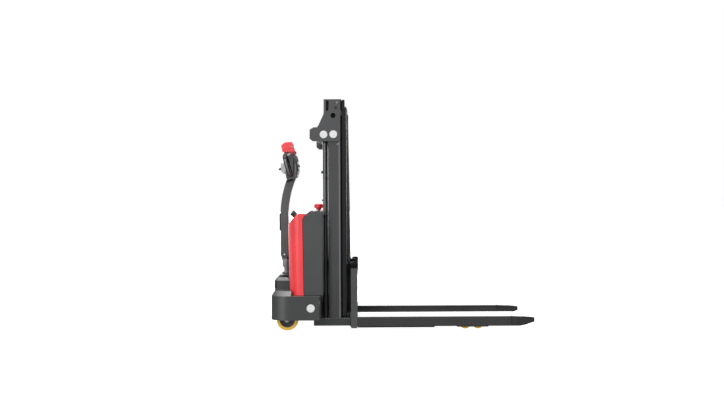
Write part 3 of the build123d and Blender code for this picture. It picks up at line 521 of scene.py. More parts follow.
class Palette:
    """Every finish of the truck."""

    GRAPHITE = paint("graphite_powder", Slot.GRAPHITE, (0.046, 0.0475, 0.048), (0.10, 0.102, 0.105),
                     (0.17, 0.24), 0.1)
    MAST = paint("mast_powder", Slot.MAST, (0.043, 0.044, 0.046), (0.16, 0.162, 0.165), (0.30, 0.42), 0.1,
                 specular=0.4)
    RAIL = replace(MAST, name="rail_powder", tints=(
        # painted shade: darker towards the foot of the mast
        Tint((Zone("Z", (0.5, 0.1)),), (0.031, 0.0315, 0.033)),
        # painted shade along the rail's rear edge, below about 0.7 m
        Tint((Zone("X", (-0.450, -0.472)), Zone("Z", (0.8, 0.62)))),
        # painted highlight: a light line along the rail's front edge
        Tint((Zone("X", (-0.4098, -0.4068)), Zone("X", (-0.3990, -0.4018))), (0.118, 0.12, 0.122))))
    FORK = paint(
        "fork_enamel", Slot.FORK, (0.027, 0.027, 0.028), (0.11, 0.11, 0.112), (0.14, 0.24), 0.35,
        # painted shadow of the carriage on the forks' inner sides, near the heels
        tints=(Tint((Zone("X", (-0.02, -0.26)), Zone("Y", (0.2, 0.13), True)), (0.002, 0.002, 0.002)),
               # darker towards the fork tips
               Tint((Zone("X", (0.66, 0.76)),), (0.010, 0.010, 0.0105))))
    RED = paint("red_enamel", Slot.RED, (0.79, 0.044, 0.052), (0.88, 0.17, 0.18), (0.26, 0.36), 0.15)
    COVER = paint("cover_powder", Slot.COVER, (0.045, 0.047, 0.0475), (0.12, 0.122, 0.124),
                  (0.36, 0.48), 0.08)
    PANEL = moulded("panel_grain", Slot.PANEL, (0.046, 0.048, 0.052), (0.42, 0.56), 0.00008)
    STEP = moulded(
        "step_grain", Slot.STEP, (0.042, 0.044, 0.043), (0.30, 0.42), 0.00007, specular=0.42,
        # painted shade: the rear end of the step, below its top, goes near black
        tints=(Tint((Zone("X", (-0.802, -0.824)), Zone("Z", (0.325, 0.315))), (0.004, 0.004, 0.004)),))
    TILLER = paint("tiller_powder", Slot.TILLER, (0.062, 0.069, 0.070), (0.17, 0.17, 0.172),
                   (0.36, 0.5), 0.08)
    BLACK = moulded("black_grain", Slot.BLACK, (0.011, 0.011, 0.012), (0.42, 0.58), 0.00007)
    GRIP = moulded("grip_grain", Slot.GRIP, (0.05, 0.051, 0.053), (0.32, 0.46), 0.00006)
    # Light grey strip on the black hand loops: a painted highlight.
    LOOP_INLAY = moulded("inlay_grain", Slot.GRIP, (0.15, 0.15, 0.154), (0.45, 0.6), 0.00008)
    TRIM = moulded("trim_grain", Slot.GRIP, (0.27, 0.27, 0.275), (0.45, 0.6), 0.00008)
    PADDLE = moulded("paddle_satin", Slot.PADDLE, (0.46, 0.465, 0.475), (0.34, 0.46), 0.00004)
    BUTTON = moulded("button_gloss", Slot.BUTTON, (0.84, 0.065, 0.075), (0.16, 0.26), 0.00003)
    ESTOP = replace(BUTTON, name="stop_gloss", colour=(0.64, 0.016, 0.026), drift=(0.58, 0.014, 0.022),
                    specular=0.4)
    BRIGHT = steel("turned_steel", Slot.BRIGHT, (0.56, 0.56, 0.57), (0.24, 0.4), (1.0, 0.06, 1.0))
    CHROME = steel("rod_chrome_polish", Slot.CHROME, (0.72, 0.72, 0.73), (0.06, 0.14), (1.0, 1.0, 0.04))
    DARK_STEEL = steel("oiled_steel", Slot.DARK_STEEL, (0.13, 0.13, 0.135), (0.34, 0.5))
    HUB = moulded("hub_grain", Slot.DARK_STEEL, (0.038, 0.04, 0.043), (0.34, 0.48), 0.00006)
    CHAIN = steel("chain_steel", Slot.DARK_STEEL, (0.10, 0.10, 0.103), (0.3, 0.46), (1.0, 1.0, 0.4))
    WELD = steel("painted_weld", Slot.MAST, (0.05, 0.05, 0.052), (0.4, 0.55))
    TREAD = moulded("urethane_tread", Slot.TREAD, (0.95, 0.57, 0.075), (0.26, 0.4), 0.00006)
    DRIVE = moulded("drive_rubber", Slot.DRIVE, (0.018, 0.018, 0.019), (0.6, 0.78), 0.00012)
    RUBBER = moulded("pad_rubber", Slot.BLACK, (0.009, 0.009, 0.0095), (0.8, 0.92), 0.00015, specular=0.0)
    BATTERY = moulded("battery_grain", Slot.BATTERY, (0.03, 0.034, 0.04), (0.4, 0.55), 0.00008)
    MOTOR = paint("motor_enamel", Slot.MOTOR, (0.022, 0.022, 0.023), (0.1, 0.1, 0.1), (0.2, 0.3), 0.3)
    TANK = moulded("tank_grain", Slot.TANK, (0.55, 0.55, 0.5), (0.4, 0.5), 0.00006)
    ALLOY = steel("cast_alloy", Slot.ALLOY, (0.5, 0.51, 0.52), (0.4, 0.55))
    DISC = moulded("white_vinyl", Slot.PADDLE, (0.66, 0.66, 0.66), (0.3, 0.4), 0.00003)
    # Near black: painted shade deep inside the mast on the inner rails and beams; the head ears and slide
    # strips take it too.
    INNER_RAIL = paint("greased_rail", Slot.MAST, (0.012, 0.012, 0.0125), (0.05, 0.05, 0.05),
                       (0.4, 0.55), 0.0, specular=0.18)
    AXLE = steel("plated_axle", Slot.BRIGHT, (0.26, 0.26, 0.265), (0.34, 0.5))
    CARRIAGE = replace(
        MAST, name="carriage_powder", colour=(0.069, 0.070, 0.072), drift=(0.060, 0.061, 0.063),
        specular=0.12, coat=0.0,
        # painted shade: near black inside the carriage, behind its face and between its end bars
        tints=(Tint((Zone("Y", (0.264, 0.258), True), Zone("X", (-0.308, -0.313)))),))
    HEAD = replace(
        GRIP, name="head_grain", colour=(0.115, 0.119, 0.121), drift=(0.092, 0.095, 0.097), specular=0.12,
        tints=(Tint((Zone("Y", (0.0425, 0.0445), True),)),))
    # Darker copy of the button red: painted shade on the lower lip of the red pad.
    LIP = moulded("lip_gloss", Slot.BUTTON, (0.30, 0.015, 0.02), (0.2, 0.3), 0.00003)
    BASE = replace(
        TILLER, name="base_zinc", colour=(0.34, 0.345, 0.345), drift=(0.17, 0.173, 0.175), patches=30.0,
        # painted shade: the front of the tiller base, ahead of the hinge, goes dark
        gloss=(0.28, 0.42), metallic=0.5, tints=(Tint((Zone("X", (-0.785, -0.775)),), (0.06, 0.063, 0.064)),))
    CYLINDER = replace(MAST, name="cylinder_enamel", colour=(0.026, 0.0265, 0.028), gloss=(0.1, 0.17),
                       coat=0.7)
    MAST_HEAD = replace(
        MAST, name="mast_head_powder", colour=(0.056, 0.057, 0.059), drift=(0.050, 0.051, 0.053),
        # painted highlight: a light strip along the rear edge of the head's upper part
        tints=(Tint((Zone("X", (-0.4975, -0.4995)), Zone("Z", (1.40, 1.41))), (0.2, 0.2, 0.203)),))
    # Darker copy of the graphite paint for the legs and leg base: painted shade low down near the floor.
    LEG = replace(GRAPHITE, name="leg_powder", colour=(0.029, 0.030, 0.031), drift=(0.024, 0.025, 0.026))
    # Near black: a dark joint on the nose seams, and painted shade on the flat bars low under the forks.
    SEAM = replace(FORK, name="seam_black", colour=(0.003, 0.003, 0.003), drift=(0.002, 0.002, 0.002),
                   specular=0.1)
    # Near black: painted shade on the chassis frame, seen in the gap between skirt and mast; the bogie guards
    # wear it too.
    FRAME = paint("frame_black", Slot.GRAPHITE, (0.010, 0.010, 0.011), (0.04, 0.04, 0.042), (0.5, 0.65), 0.0)

    CAD_FINISHES = (GRAPHITE, MAST, FORK, RED, COVER, PANEL, STEP, TILLER, BLACK, GRIP, PADDLE, BUTTON,
                    BRIGHT, CHROME, DARK_STEEL, TREAD, DRIVE, BATTERY, MOTOR, TANK, ALLOY)


@dataclass(frozen=True)
class SoftEdge:
    """Rounding of a CAD node's edges: loose triangles are welded, flat ones joined, sharp edges rounded."""

    width: float
    segments: int = 3
    flat_angle: float = math.radians(0.6)
    sharp_angle: float = math.radians(33.0)

    def put_on(self, node: bpy.types.Object) -> None:
        """Adds the modifiers to a node, with the edge faces in its second material slot.

        Args:
            node: CAD node to round.
        """
        node.modifiers.new("weld", "WELD").merge_threshold = 10 * MERGE_DISTANCE
        flat = node.modifiers.new("flat", "DECIMATE")
        flat.decimate_type = "DISSOLVE"
        flat.angle_limit = self.flat_angle
        edge = node.modifiers.new("edge", "BEVEL")
        edge.width = self.width
        edge.segments = self.segments
        edge.limit_method = "ANGLE"
        edge.angle_limit = self.sharp_angle
        edge.material = 1
        node.modifiers.new("even", "WEIGHTED_NORMAL").keep_sharp = True


@dataclass
class FrameDress:
    """Finishes and soft edges of the CAD nodes that show as they are, by names without their side."""

    plain_edge: float = 0.0008
    edges: dict[str, float] = field(default_factory=lambda: {
        "mast_rail": 0.0015,
        "inner_rail": 0.001,
        "mast_head": 0.001,
        "chassis_skirt": 0.0018,
        "rear_cover": 0.0018,
        "body_cover": 0.0018,
        "top_panel": 0.003,
        "step_cover": 0.0016,
        "leg_base": 0.001,
        "leg": 0.002,
        "fork": 0.0014,
        "tiller_base": 0.002,
        "inner_beams": 0.002,
    })
    special: dict[str, Finish] = field(default_factory=lambda: {
        "chassis_frame": Palette.FRAME,
        "inner_rail": Palette.INNER_RAIL,
        "inner_beams": Palette.INNER_RAIL,
        "carriage_frame": Palette.CARRIAGE,
        "tiller_head": Palette.HEAD,
        "tiller_pin": Palette.DARK_STEEL,
        "estop_button": Palette.ESTOP,
        "tiller_base": Palette.BASE,
        "lift_cylinders": Palette.CYLINDER,
        "mast_head": Palette.MAST_HEAD,
        "mast_rail": Palette.RAIL,
        "mast_top_rollers": Palette.DARK_STEEL,
        "leg_base": Palette.LEG,
        "leg": Palette.LEG,
    })

    def build(self) -> None:
        """Gives every CAD node its finish and its edge."""
        finishes = {finish.slot.value: finish for finish in Palette.CAD_FINISHES}
        for name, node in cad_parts.items():
            bare = name.replace("left_", "").replace("right_", "")
            finish = self.special.get(bare, finishes[node.material_slots[0].material.name])
            node.material_slots[0].material = finish.material()
            node.data.materials.append(finish.edge_material())
            SoftEdge(self.edges.get(bare, self.plain_edge)).put_on(node)
            LOG.info("dressed %s in %s", name, finish.name)


class SubAssembly:
    """Base of the truck's sub-assemblies: hands each finished piece to the frame."""

    def add(self, name: str, shell: Shell, finish: Finish, body: "str | None",
            stands_for: tuple[str, ...] = ()) -> bpy.types.Object:
        """Makes a piece, dresses it and lets it ride on a body.

        Args:
            name: Name of the piece.
            shell: Its surface.
            finish: Its finish.
            body: Body that it rides on, or None to leave it on no body.
            stands_for: CAD nodes that it stands for.

        Returns:
            The piece.
        """
        piece = shell.make(name)
        piece.data.materials.append(finish.material())
        if body is not None:
            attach(piece, body)
        if stands_for:
            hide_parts(*stands_for)
        LOG.info("made %s: %d faces in %s", name, len(piece.data.polygons), finish.name)
        return piece

    def pair(self, name: str, shell: Shell, finish: Finish, body: str) -> None:
        """Adds a piece that is built on the left to both sides."""
        for side in Side:
            self.add(f"{side.word}_{name}", shell.on_side(side), finish, body)


def rounded_profile(corners: "Outline | Array", radius: float, steps: int = 5) -> Array:
    """Polygon with each corner rounded by a curve that leaves and meets its sides smoothly.

    Between the two points one radius before and after a corner, the curve is the quadratic
    (1 - t)^2 before + 2 t (1 - t) corner + t^2 after.

    Args:
        corners: Corners in order, two values each.
        radius: Distance along each side at which the rounding starts.
        steps: Points on each corner.

    Returns:
        The points of the rounded outline.
    """
    corners = np.array(corners)
    start, end = (corners + radius * unit(np.roll(corners, shift, axis=0) - corners) for shift in (1, -1))
    t = np.linspace(0.0, 1.0, steps)[None, :, None]
    curve = (1 - t) ** 2 * start[:, None] + 2 * t * (1 - t) * corners[:, None] + t**2 * end[:, None]
    return curve.reshape(-1, 2)


def hex_nut(centre: Point, axis: Axis, across: float, height: float) -> Shell:
    """Six-sided nut with turned-off corners: radius a / cos(angle to the nearest flat), less at both ends.

    Args:
        centre: Middle of its lower face.
        axis: Direction of its height.
        across: Width across the flats.
        height: Its height.

    Returns:
        The closed nut.
    """
    hexagon = across / 2 / np.cos(to_flat(full_turn(24)))
    end = np.minimum(hexagon, across * 0.515)
    lip = 0.12 * height
    radius = np.stack([0.86 * end, end, hexagon, hexagon, end, 0.86 * end])
    return Shell.turned(radius, [0.0, 0.0, lip, height - lip, height, height], centre, axis)


def bead(start: Point, end: Point, out: Point, radius: float, pitch: float = 0.007) -> Shell:
    """Weld bead along a line: a round section whose radius swells at each drop and tapers at the ends.

    Args:
        start: First point of the seam.
        end: Last point of the seam.
        out: Direction in which the bead stands out, between the two faces that it joins.
        radius: Its radius.
        pitch: Distance of its drops.

    Returns:
        The closed bead.
    """
    run = np.array(end) - np.array(start)
    length = float(np.linalg.norm(run))
    share = np.linspace(0.0, 1.0, 6 * int(length / pitch) + 1)
    up = unit(np.array(out))
    turn = full_turn(12)
    swell = 0.92 + 0.16 * np.abs(np.sin(math.pi * share * length / pitch))
    taper = np.sqrt(np.clip(1.02 - (2 * share - 1) ** 8, 0.0, 1.0))
    around = np.cos(turn)[:, None] * np.cross(run / length, up) + np.sin(turn)[:, None] * up
    spine = np.array(start) + share[:, None] * run
    return Shell.from_rings(spine[:, None] + radius * (swell * taper)[:, None, None] * around)


@dataclass
class Chains(SubAssembly):
    """Leaf chains that carry the forks: one a side, from the mast head over a sheave to the carriage."""

    pitch: float = 0.01905
    width: float = 0.020
    depth: float = 0.016
    waist: float = 0.24
    squareness: float = 0.6
    lean: float = 0.014
    lanes: int = 7
    plate: float = 0.0024
    pin_radius: float = 0.0034
    pin_profile: Outline = ((0.7, -0.51), (1.0, -0.49), (1.0, 0.49), (0.7, 0.51))
    pin_sides: int = 8
    outline_points: int = 16
    end_gap: float = 0.012
    ear_y: Pair = (0.0105, 0.0122)
    ear_corners: Outline = ((-0.0075, -0.0005), (0.0075, -0.0005), (0.0060, 0.0175), (-0.0060, 0.0175))
    ear_round: float = 0.004
    stud_height: float = 0.011
    stud_radius: Point = (0.004, 0.004, 0.003)
    stud_out: Point = (0.0, 0.001, 0.0014)
    thread_radius: float = 0.0056
    thread_ridge: float = 0.0004
    thread_length: float = 0.030
    thread_turns: int = 12
    nut_size: Pair = (0.018, 0.009)
    nut_drops: Pair = (0.0095, 0.0195)
    carriage_lug: float = 0.030
    chassis_lug: float = 0.040

    def _outline(self, span: float) -> Array:
        """Side view of a link plate, a peanut: the ends are round and the middle is drawn in.

        Length runs as (span + depth) / 2 cos t and height as depth / 2 sin t, squared off by a power and
        narrowed by the waist where cos t is small.

        Args:
            span: Distance of its two pins.

        Returns:
            Points along and across the chain.
        """
        turn = full_turn(self.outline_points)
        along = np.cos(turn)
        across = np.sign(np.sin(turn)) * np.abs(np.sin(turn)) ** self.squareness
        across = across * (1 - self.waist * (1 - along**2) ** 2)
        return np.stack([along * (span + self.depth) / 2, across * self.depth / 2], axis=-1)

    def _links(self, x: "Array | float", y: float, z: Array) -> Shell:
        """Link plates and pins along a line of pin places.

        Plate k lies on the middle of pins k and k + 1, turned to their line. Odd and even links take turns
        on the lanes across the chain.

        Args:
            x: X of each pin, or of all.
            y: Y of the chain.
            z: Z of each pin.

        Returns:
            All plates and pins as one surface.
        """
        pins = points_of(x, y, z)
        run = np.diff(pins, axis=0)
        along = unit(run)
        across = np.cross(along, Y_WAY)
        outline = self._outline(float(np.linalg.norm(run, axis=1).mean()))
        middle = (pins[1:] + pins[:-1]) / 2
        flat = middle[:, None] + outline[:, :1] * along[:, None] + outline[:, 1:] * across[:, None]
        lane_y = np.linspace(-1.0, 1.0, self.lanes) * (self.width - self.plate) / 2
        walls = np.array([-1.0, 1.0])[:, None, None] * Y_WAY * self.plate / 2
        shells = []
        for start in (0, 1):
            lanes = lane_y[start::2, None] * Y_WAY
            shells += [Shell.from_rings(plate + walls).copies(lanes) for plate in flat[start::2]]
        thick, place = np.array(self.pin_profile).T
        pin = Shell.turned(thick * self.pin_radius, place * self.width, (0.0, 0.0, 0.0), steps=self.pin_sides)
        return Shell.joined([*shells, pin.copies(pins)])

    def build(self) -> None:
        """Builds falls, wraps and rear runs on both sides; falls and wraps ride on the inner mast, so that
        they follow the lift.
        """
        front, rear = Span.of("front_chains"), Span.of("rear_chains")
        radius = (front.size[0] - self.lean - self.depth) / 2
        sheave_x = front.low[0] + self.depth / 2 + radius
        sheave_z = front.high[2] - radius - self.depth / 2
        chain_y = front.high[1] - self.width / 2
        fall_x, rear_x = sheave_x + radius, sheave_x - radius
        fall_length = sheave_z - front.low[2]
        fall_z = np.linspace(sheave_z, front.low[2] + self.end_gap, round(fall_length / self.pitch) + 1)
        lean_x = fall_x + self.lean * (sheave_z - fall_z) / fall_length
        rear_z = np.linspace(sheave_z, rear.low[2] + self.end_gap, round(rear.size[2] / self.pitch) + 1)
        turn = np.linspace(0.0, math.pi, round(math.pi * radius / self.pitch) + 1)
        wrap_x, wrap_z = sheave_x + radius * np.cos(turn), sheave_z + radius * np.sin(turn)
        for side in Side:
            y = side.value * chain_y
            fall = self.add(f"{side.word}_chain_fall", self._links(lean_x, y, fall_z), Palette.CHAIN,
                            "inner_mast", ("front_chains",))
            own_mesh(fall)
            self.add(f"{side.word}_chain_wrap", self._links(wrap_x, y, wrap_z), Palette.CHAIN,
                     "inner_mast", ("front_chains",))
            run = self.add(f"{side.word}_chain_rear_run", self._links(rear_x, y, rear_z), Palette.CHAIN,
                           None, ("rear_chains",))
            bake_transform(run)
            self._anchor(side, "carriage", (fall_x + self.lean, y, front.low[2]), self.carriage_lug)
            self._anchor(side, "chassis", (rear_x, y, rear.low[2]), self.chassis_lug)

    def _anchor(self, side: Side, body: str, top: Point, lug: float) -> None:
        """Anchor of a chain's end: a clevis with ears beside the last link, and a threaded end with two nuts.

        Args:
            side: Side of the truck.
            body: Body that carries the lug.
            top: Upper face of the lug, where the chain ends.
            lug: Height of the lug.
        """
        x, y, z = top
        under = z - lug
        share = np.linspace(0.0, 1.0, 4 * self.thread_turns + 1)
        ridge = self.thread_radius + self.thread_ridge * np.cos(2 * math.pi * self.thread_turns * share)
        shells = [Shell.turned(ridge, under - self.thread_length * share, (x, y, 0.0), Axis.Z)]
        ear = rounded_profile(self.ear_corners, self.ear_round) + [x, z]
        stud = np.array(self.stud_out) + self.ear_y[1]
        for way in (1.0, -1.0):
            shells.append(Shell.layered(ear[None], y + way * np.array(self.ear_y)))
            shells.append(Shell.turned(self.stud_radius, way * stud, (x, y, z + self.stud_height)))
        shells += [hex_nut((x, y, under - drop), Axis.Z, *self.nut_size) for drop in self.nut_drops]
        self.add(f"{side.word}_{body}_chain_anchor", Shell.joined(shells), Palette.CHAIN, body)


@dataclass
class Wheels(SubAssembly):
    """Castors, load wheels and drive wheel: bonded treads on turned hubs."""

    steps: int = 96
    crown: float = 0.0006
    bond: float = 0.0005
    castor_tread: float = 0.020
    castor_shoulder: float = 0.008
    castor_bore: Pair = (0.018, 0.0102)
    nut_place: float = 0.035
    nut_size: Pair = (0.022, 0.007)
    castor_inset: Pair = (0.001, 0.003)
    tread_lip: float = 0.001
    bore_lip: float = 0.001
    rim_lips: Pair = (0.002, 0.004)
    rim_margin: float = 0.003
    rib_count: int = 6
    rib_height: float = 0.003
    dish: float = 0.007
    load_tread: float = 0.016
    load_shoulder: float = 0.005
    load_steps: int = 64
    sleeve_radius: tuple[float, ...] = (0.0093, 0.0125, 0.0128, 0.0165, 0.0168)
    sleeve_sink: tuple[float, ...] = (0.0012, 0.0012, 0.0024, 0.0024, 0.0012, 0.0012, 0.0022)
    drive_tread: float = 0.022
    drive_bore: Pair = (0.024, 0.0153)
    drive_steps: int = 336
    drive_inset: Pair = (0.0002, 0.002)
    drive_crown: float = 0.003
    crown_start: Pair = (0.75, 0.25)
    groove_count: int = 28
    groove_depth: float = 0.004
    groove_slant: float = 5.0
    groove_wave: Pair = (0.55, 0.3)
    groove_start: Pair = (0.08, 0.1)
    guard_edge: Outline = ((0.0, 0.0192), (0.050, 0.0192), (0.095, 0.0192), (0.102, 0.0215), (0.105, 0.0265))
    guard_top: float = 0.046
    guard_wall: float = 0.003
    guard_ease: float = 0.0006

    @staticmethod
    def _measures(node: str) -> tuple[Point, float, float]:
        """Middle, radius and half width of a wheel."""
        span = Span.of(node)
        return span.centre, span.size[0] / 2, span.size[1] / 2

    @staticmethod
    def _mirrored(r: Array, y: Array, centre: Point, steps: int) -> Shell:
        """Closed ring with the same profile on both sides of its middle."""
        r, y = np.concatenate([r, r[::-1]]), np.concatenate([y, -y[::-1]])
        return Shell.turned(r, y, centre, looped=True, steps=steps)

    def _tread(self, centre: Point, radius: float, inner: float, half: float, shoulder: float) -> Shell:
        """Bonded tread: a closed section with rounded shoulders, a slight crown and a groove beside the hub.

        Args:
            centre: Middle of the wheel.
            radius: Its outer radius.
            inner: Radius at which the tread meets the hub.
            half: Half of its width.
            shoulder: Radius of the shoulders.

        Returns:
            The ring.
        """
        turn = np.linspace(0.0, QUARTER, 7)
        round_r = radius - shoulder - self.crown + shoulder * np.sin(turn)
        round_y = half - shoulder + shoulder * np.cos(turn)
        r = np.r_[inner, round_r, radius - self.crown / 3, radius]
        y = np.r_[half - self.tread_lip, round_y, 0.5 * (half - shoulder), 0.0]
        return Shell.turned(np.r_[r, r[-2::-1]], np.r_[y, -y[-2::-1]], centre, looped=True, steps=self.steps)

    def _hub(self, centre: Point, rim: float, half: float, boss: float, bore: float) -> Shell:
        """Dished hub: between boss and rim the face sinks as 1 - cos, and ribs stand up in the dish.

        Args:
            centre: Middle of the wheel.
            rim: Outer radius of the hub.
            half: Half of its width.
            boss: Radius of the middle boss.
            bore: Radius of the axle hole.

        Returns:
            The closed hub.
        """
        share = np.linspace(0.0, 1.0, 13)[:, None]
        rib = np.clip(np.cos(self.rib_count * full_turn(self.steps)), 0.0, 1.0) ** 6
        sunk = self.dish * (1 - np.cos(2 * math.pi * share)) / 2
        depth = sunk - self.rib_height * rib * np.sin(math.pi * share)
        flat = np.ones((2, self.steps))
        lips = np.array(self.rim_lips)[:, None]
        depth = np.concatenate([flat * [[self.bore_lip], [0.0]], depth, flat * lips])
        face = boss + share[:, 0] * (rim - self.rim_margin - boss)
        r = np.r_[bore, bore + self.bore_lip, face, rim, rim]
        return self._mirrored(r, half - depth, centre, self.steps)

    def _castor(self, side: Side) -> None:
        """Castor wheel with a yellow tread, a ribbed hub and axle nuts on its yoke.

        Args:
            side: Side of the truck.
        """
        node = f"{side.word}_castor_wheel"
        centre, radius, half = self._measures(node)
        rim = radius - self.castor_tread
        tread_inset, hub_inset = self.castor_inset
        tread = self._tread(centre, radius, rim - self.bond, half - tread_inset, self.castor_shoulder)
        self.add(f"{side.word}_castor_tread", tread, Palette.TREAD, node, (node,))
        hub = self._hub(centre, rim, half - hub_inset, *self.castor_bore)
        self.add(f"{side.word}_castor_hub", hub, Palette.HUB, node, (node,))
        x, y, z = centre
        places = (self.nut_place, -self.nut_place - self.nut_size[1])
        nuts = Shell.joined([hex_nut((x, y + place, z), Axis.Y, *self.nut_size) for place in places])
        self.add(f"{side.word}_castor_nuts", nuts, Palette.BRIGHT, f"{side.word}_castor_yoke")

    def _load_wheel(self, side: Side, place: str) -> None:
        """Load wheel: a wide yellow tread on a steel sleeve with sealed bearings.

        Args:
            side: Side of the truck.
            place: Its place in the bogie, front or rear.
        """
        node = f"{side.word}_{place}_load_wheel"
        centre, radius, half = self._measures(node)
        rim = radius - self.load_tread
        tread = self._tread(centre, radius, rim - self.bond, half, self.load_shoulder)
        self.add(f"{side.word}_{place}_load_tread", tread, Palette.TREAD, node, (node,))
        r = np.r_[self.sleeve_radius, rim, rim]
        sleeve = self._mirrored(r, half - np.array(self.sleeve_sink), centre, self.load_steps)
        self.add(f"{side.word}_{place}_load_sleeve", sleeve, Palette.BRIGHT, node, (node,))

    def _guards(self) -> Shell:
        """Skid plates on both cheeks of the left bogie: the lower edge rises at both ends.

        Returns:
            Both plates as one surface.
        """
        span, half = Span.of("left_bogie"), np.array(self.guard_edge)
        edge = np.concatenate([half[:0:-1] * [-1.0, 1.0], half])
        wall, ease = self.guard_wall, np.array([self.guard_ease, 0.0, 0.0, self.guard_ease])
        low = edge[:, 1:] + ease
        z = np.concatenate([low, np.broadcast_to(self.guard_top - ease, low.shape)], axis=1)
        across = np.array([0.0, self.guard_ease, wall - self.guard_ease, wall])
        plates = []
        for start in (span.high[1], span.low[1] - wall):
            y = start + np.r_[across, across[::-1]]
            plates.append(Shell.from_rings(points_of(span.centre[0] + edge[:, :1], y, z)))
        return Shell.joined(plates)

    def _drive(self) -> None:
        """Drive wheel: a rubber tread with slanted grooves that meet in the middle, on a dark hub."""
        node = "drive_wheel"
        centre, radius, half = self._measures(node)
        across = np.linspace(-1.0, 1.0, 25)
        out = np.abs(across)[:, None]
        wave = np.cos(self.groove_count * full_turn(self.drive_steps) + self.groove_slant * out)
        groove = ramp(wave, *self.groove_wave) * ramp(out, *self.groove_start)
        crown = self.drive_crown * ramp(out, *self.crown_start)
        inner = np.full((1, self.drive_steps), radius - self.drive_tread)
        r = np.concatenate([inner, radius - crown - self.groove_depth * groove, inner])
        y = np.r_[-1.0, across, 1.0] * (half - self.bond)
        self.add("drive_tread", Shell.turned(r, y, centre, looped=True), Palette.DRIVE, node, (node,))
        gap, inset = self.drive_inset
        hub = self._hub(centre, radius - self.drive_tread - gap, half - inset, *self.drive_bore)
        self.add("drive_hub", hub, Palette.HUB, node, (node,))

    def build(self) -> None:
        """Builds all wheels."""
        guards = self._guards()
        for side in Side:
            self._castor(side)
            self.add(f"{side.word}_bogie_guards", guards.on_side(side), Palette.FRAME, f"{side.word}_bogie")
            for place in ("front", "rear"):
                self._load_wheel(side, place)
        self._drive()


@dataclass
class Bodywork(SubAssembly):
    """Trim of the chassis and covers: seam gasket, step pads and plain discs."""

    gasket_radius: float = 0.0016
    gasket_sink: float = 0.0006
    gasket_ends: Pair = (0.002, 0.0036)
    gasket_bend: float = 0.010
    seam_curve: Outline = ((0.001, 0.236), (-0.005, 0.716), (0.0, 0.727), (0.009, 0.740), (0.018, 0.752))
    pad_y: Pair = (0.118, 0.205)
    pad_back: float = 0.032
    pad_front: float = 0.014
    pad_rim: Pair = (0.04, 0.06)
    pad_height: float = 0.0022
    pad_floor: float = 0.45
    pad_sink: float = 0.001
    rib_pitch: float = 0.009
    disc_height: float = 0.0007
    disc_rim: float = 0.0008
    disc_rings: Pair = (0.6, 0.2)
    disc_sink: float = 0.0005
    seat_depth: float = 0.001
    skirt_disc: Point = (-0.585, 0.159, 0.0255)
    mast_discs: tuple[Point, ...] = ((-0.504, 1.260, 0.0245), (-0.4413, 1.261, 0.0245))

    def _gasket(self) -> Shell:
        """Rubber bead in the seam between the red cover and the dark one, up one side and down the other.

        Returns:
            The closed bead.
        """
        cover, curve, bend = Span.of("rear_cover"), np.array(self.seam_curve), self.gasket_bend
        seam, half = cover.high[0] - curve[-1, 0], cover.high[1] - self.gasket_sink
        low, high = curve[0, 1] + self.gasket_ends[0], curve[-1, 1] - self.gasket_ends[1]
        rise = np.r_[np.linspace(low, curve[1, 1], 24)[:-1], np.linspace(curve[1, 1], high - bend, 16)]
        turn = np.linspace(0.0, QUARTER, 9)[1:-1]
        side_y = np.r_[np.full_like(rise, half), half - bend + bend * np.cos(turn)]
        side_z = np.r_[rise, high - bend + bend * np.sin(turn)]
        top_y = np.linspace(half - bend, bend - half, 40)
        z = np.r_[side_z, np.full_like(top_y, high), side_z[::-1]]
        x = seam + np.interp(z, curve[:, 1], curve[:, 0])
        spine = points_of(x, np.r_[side_y, top_y, -side_y[::-1]], z)
        along = unit(np.gradient(spine, axis=0))
        side = unit(X_WAY - along * along[:, :1])
        turn = full_turn(10)
        profile = self.gasket_radius * np.stack([np.cos(turn), np.sin(turn)], axis=-1)
        return Shell.carried(profile, spine, side, np.cross(along, side))

    def _pad(self) -> Shell:
        """Ribbed rubber pad on the step: height falls off at the rim and waves across the pad.

        Returns:
            The left pad.
        """
        step = Span.of("step_cover")
        top, back, front = step.high[2], step.low[0] + self.pad_back, step.high[0] - self.pad_front
        u, v = np.linspace(-1.0, 1.0, 73)[:, None], np.linspace(-1.0, 1.0, 33)
        middle_y, half_y = sum(self.pad_y) / 2, (self.pad_y[1] - self.pad_y[0]) / 2
        middle_x, half_x = (back + front) / 2, (front - back) / 2
        rib = 0.5 + 0.5 * np.cos(2 * math.pi * (u * half_y / self.rib_pitch))
        rim_u, rim_v = (ramp(1 - np.abs(way), 0.0, rim) for way, rim in zip((u, v), self.pad_rim))
        wave = self.pad_floor + (1 - self.pad_floor) * rib**0.5
        height = top + rim_u * rim_v * wave * self.pad_height
        upper = points_of(middle_x + half_x * v, middle_y + half_y * u, height)
        lower = upper[:, ::-1] * [1.0, 1.0, 0.0] + [0.0, 0.0, top - self.pad_sink]
        return Shell.from_rings(np.concatenate([upper, lower], axis=1))

    def _disc(self, place: Point, face: float) -> Shell:
        """Thin plain disc on an upright face of the left side, with a rounded rim.

        Args:
            place: X and Z of its middle, and its radius.
            face: Y of the face.

        Returns:
            The closed disc.
        """
        x, z, radius = place
        share = np.linspace(0.0, QUARTER, 5)
        rim = radius - self.disc_rim + self.disc_rim * np.cos(share)
        rise = np.r_[-self.disc_sink, self.disc_height * np.sin(share), self.disc_height, self.disc_height]
        return Shell.turned(np.r_[radius, rim, np.array(self.disc_rings) * radius], rise, (x, face, z))

    def build(self) -> None:
        """Builds gasket, pads and the plain white discs on skirt and mast head."""
        self.add("cover_gasket", self._gasket(), Palette.RUBBER, "chassis")
        self.pair("step_pad", self._pad(), Palette.RUBBER, "chassis")
        skirt, head = Span.of("chassis_skirt").high[1] - self.seat_depth, Span.of("mast_head").high[1]
        self.pair("skirt_disc", self._disc(self.skirt_disc, skirt), Palette.DISC, "chassis")
        for number, place in enumerate(self.mast_discs, 1):
            self.pair(f"mast_disc_{number}", self._disc(place, head), Palette.DISC, "chassis")


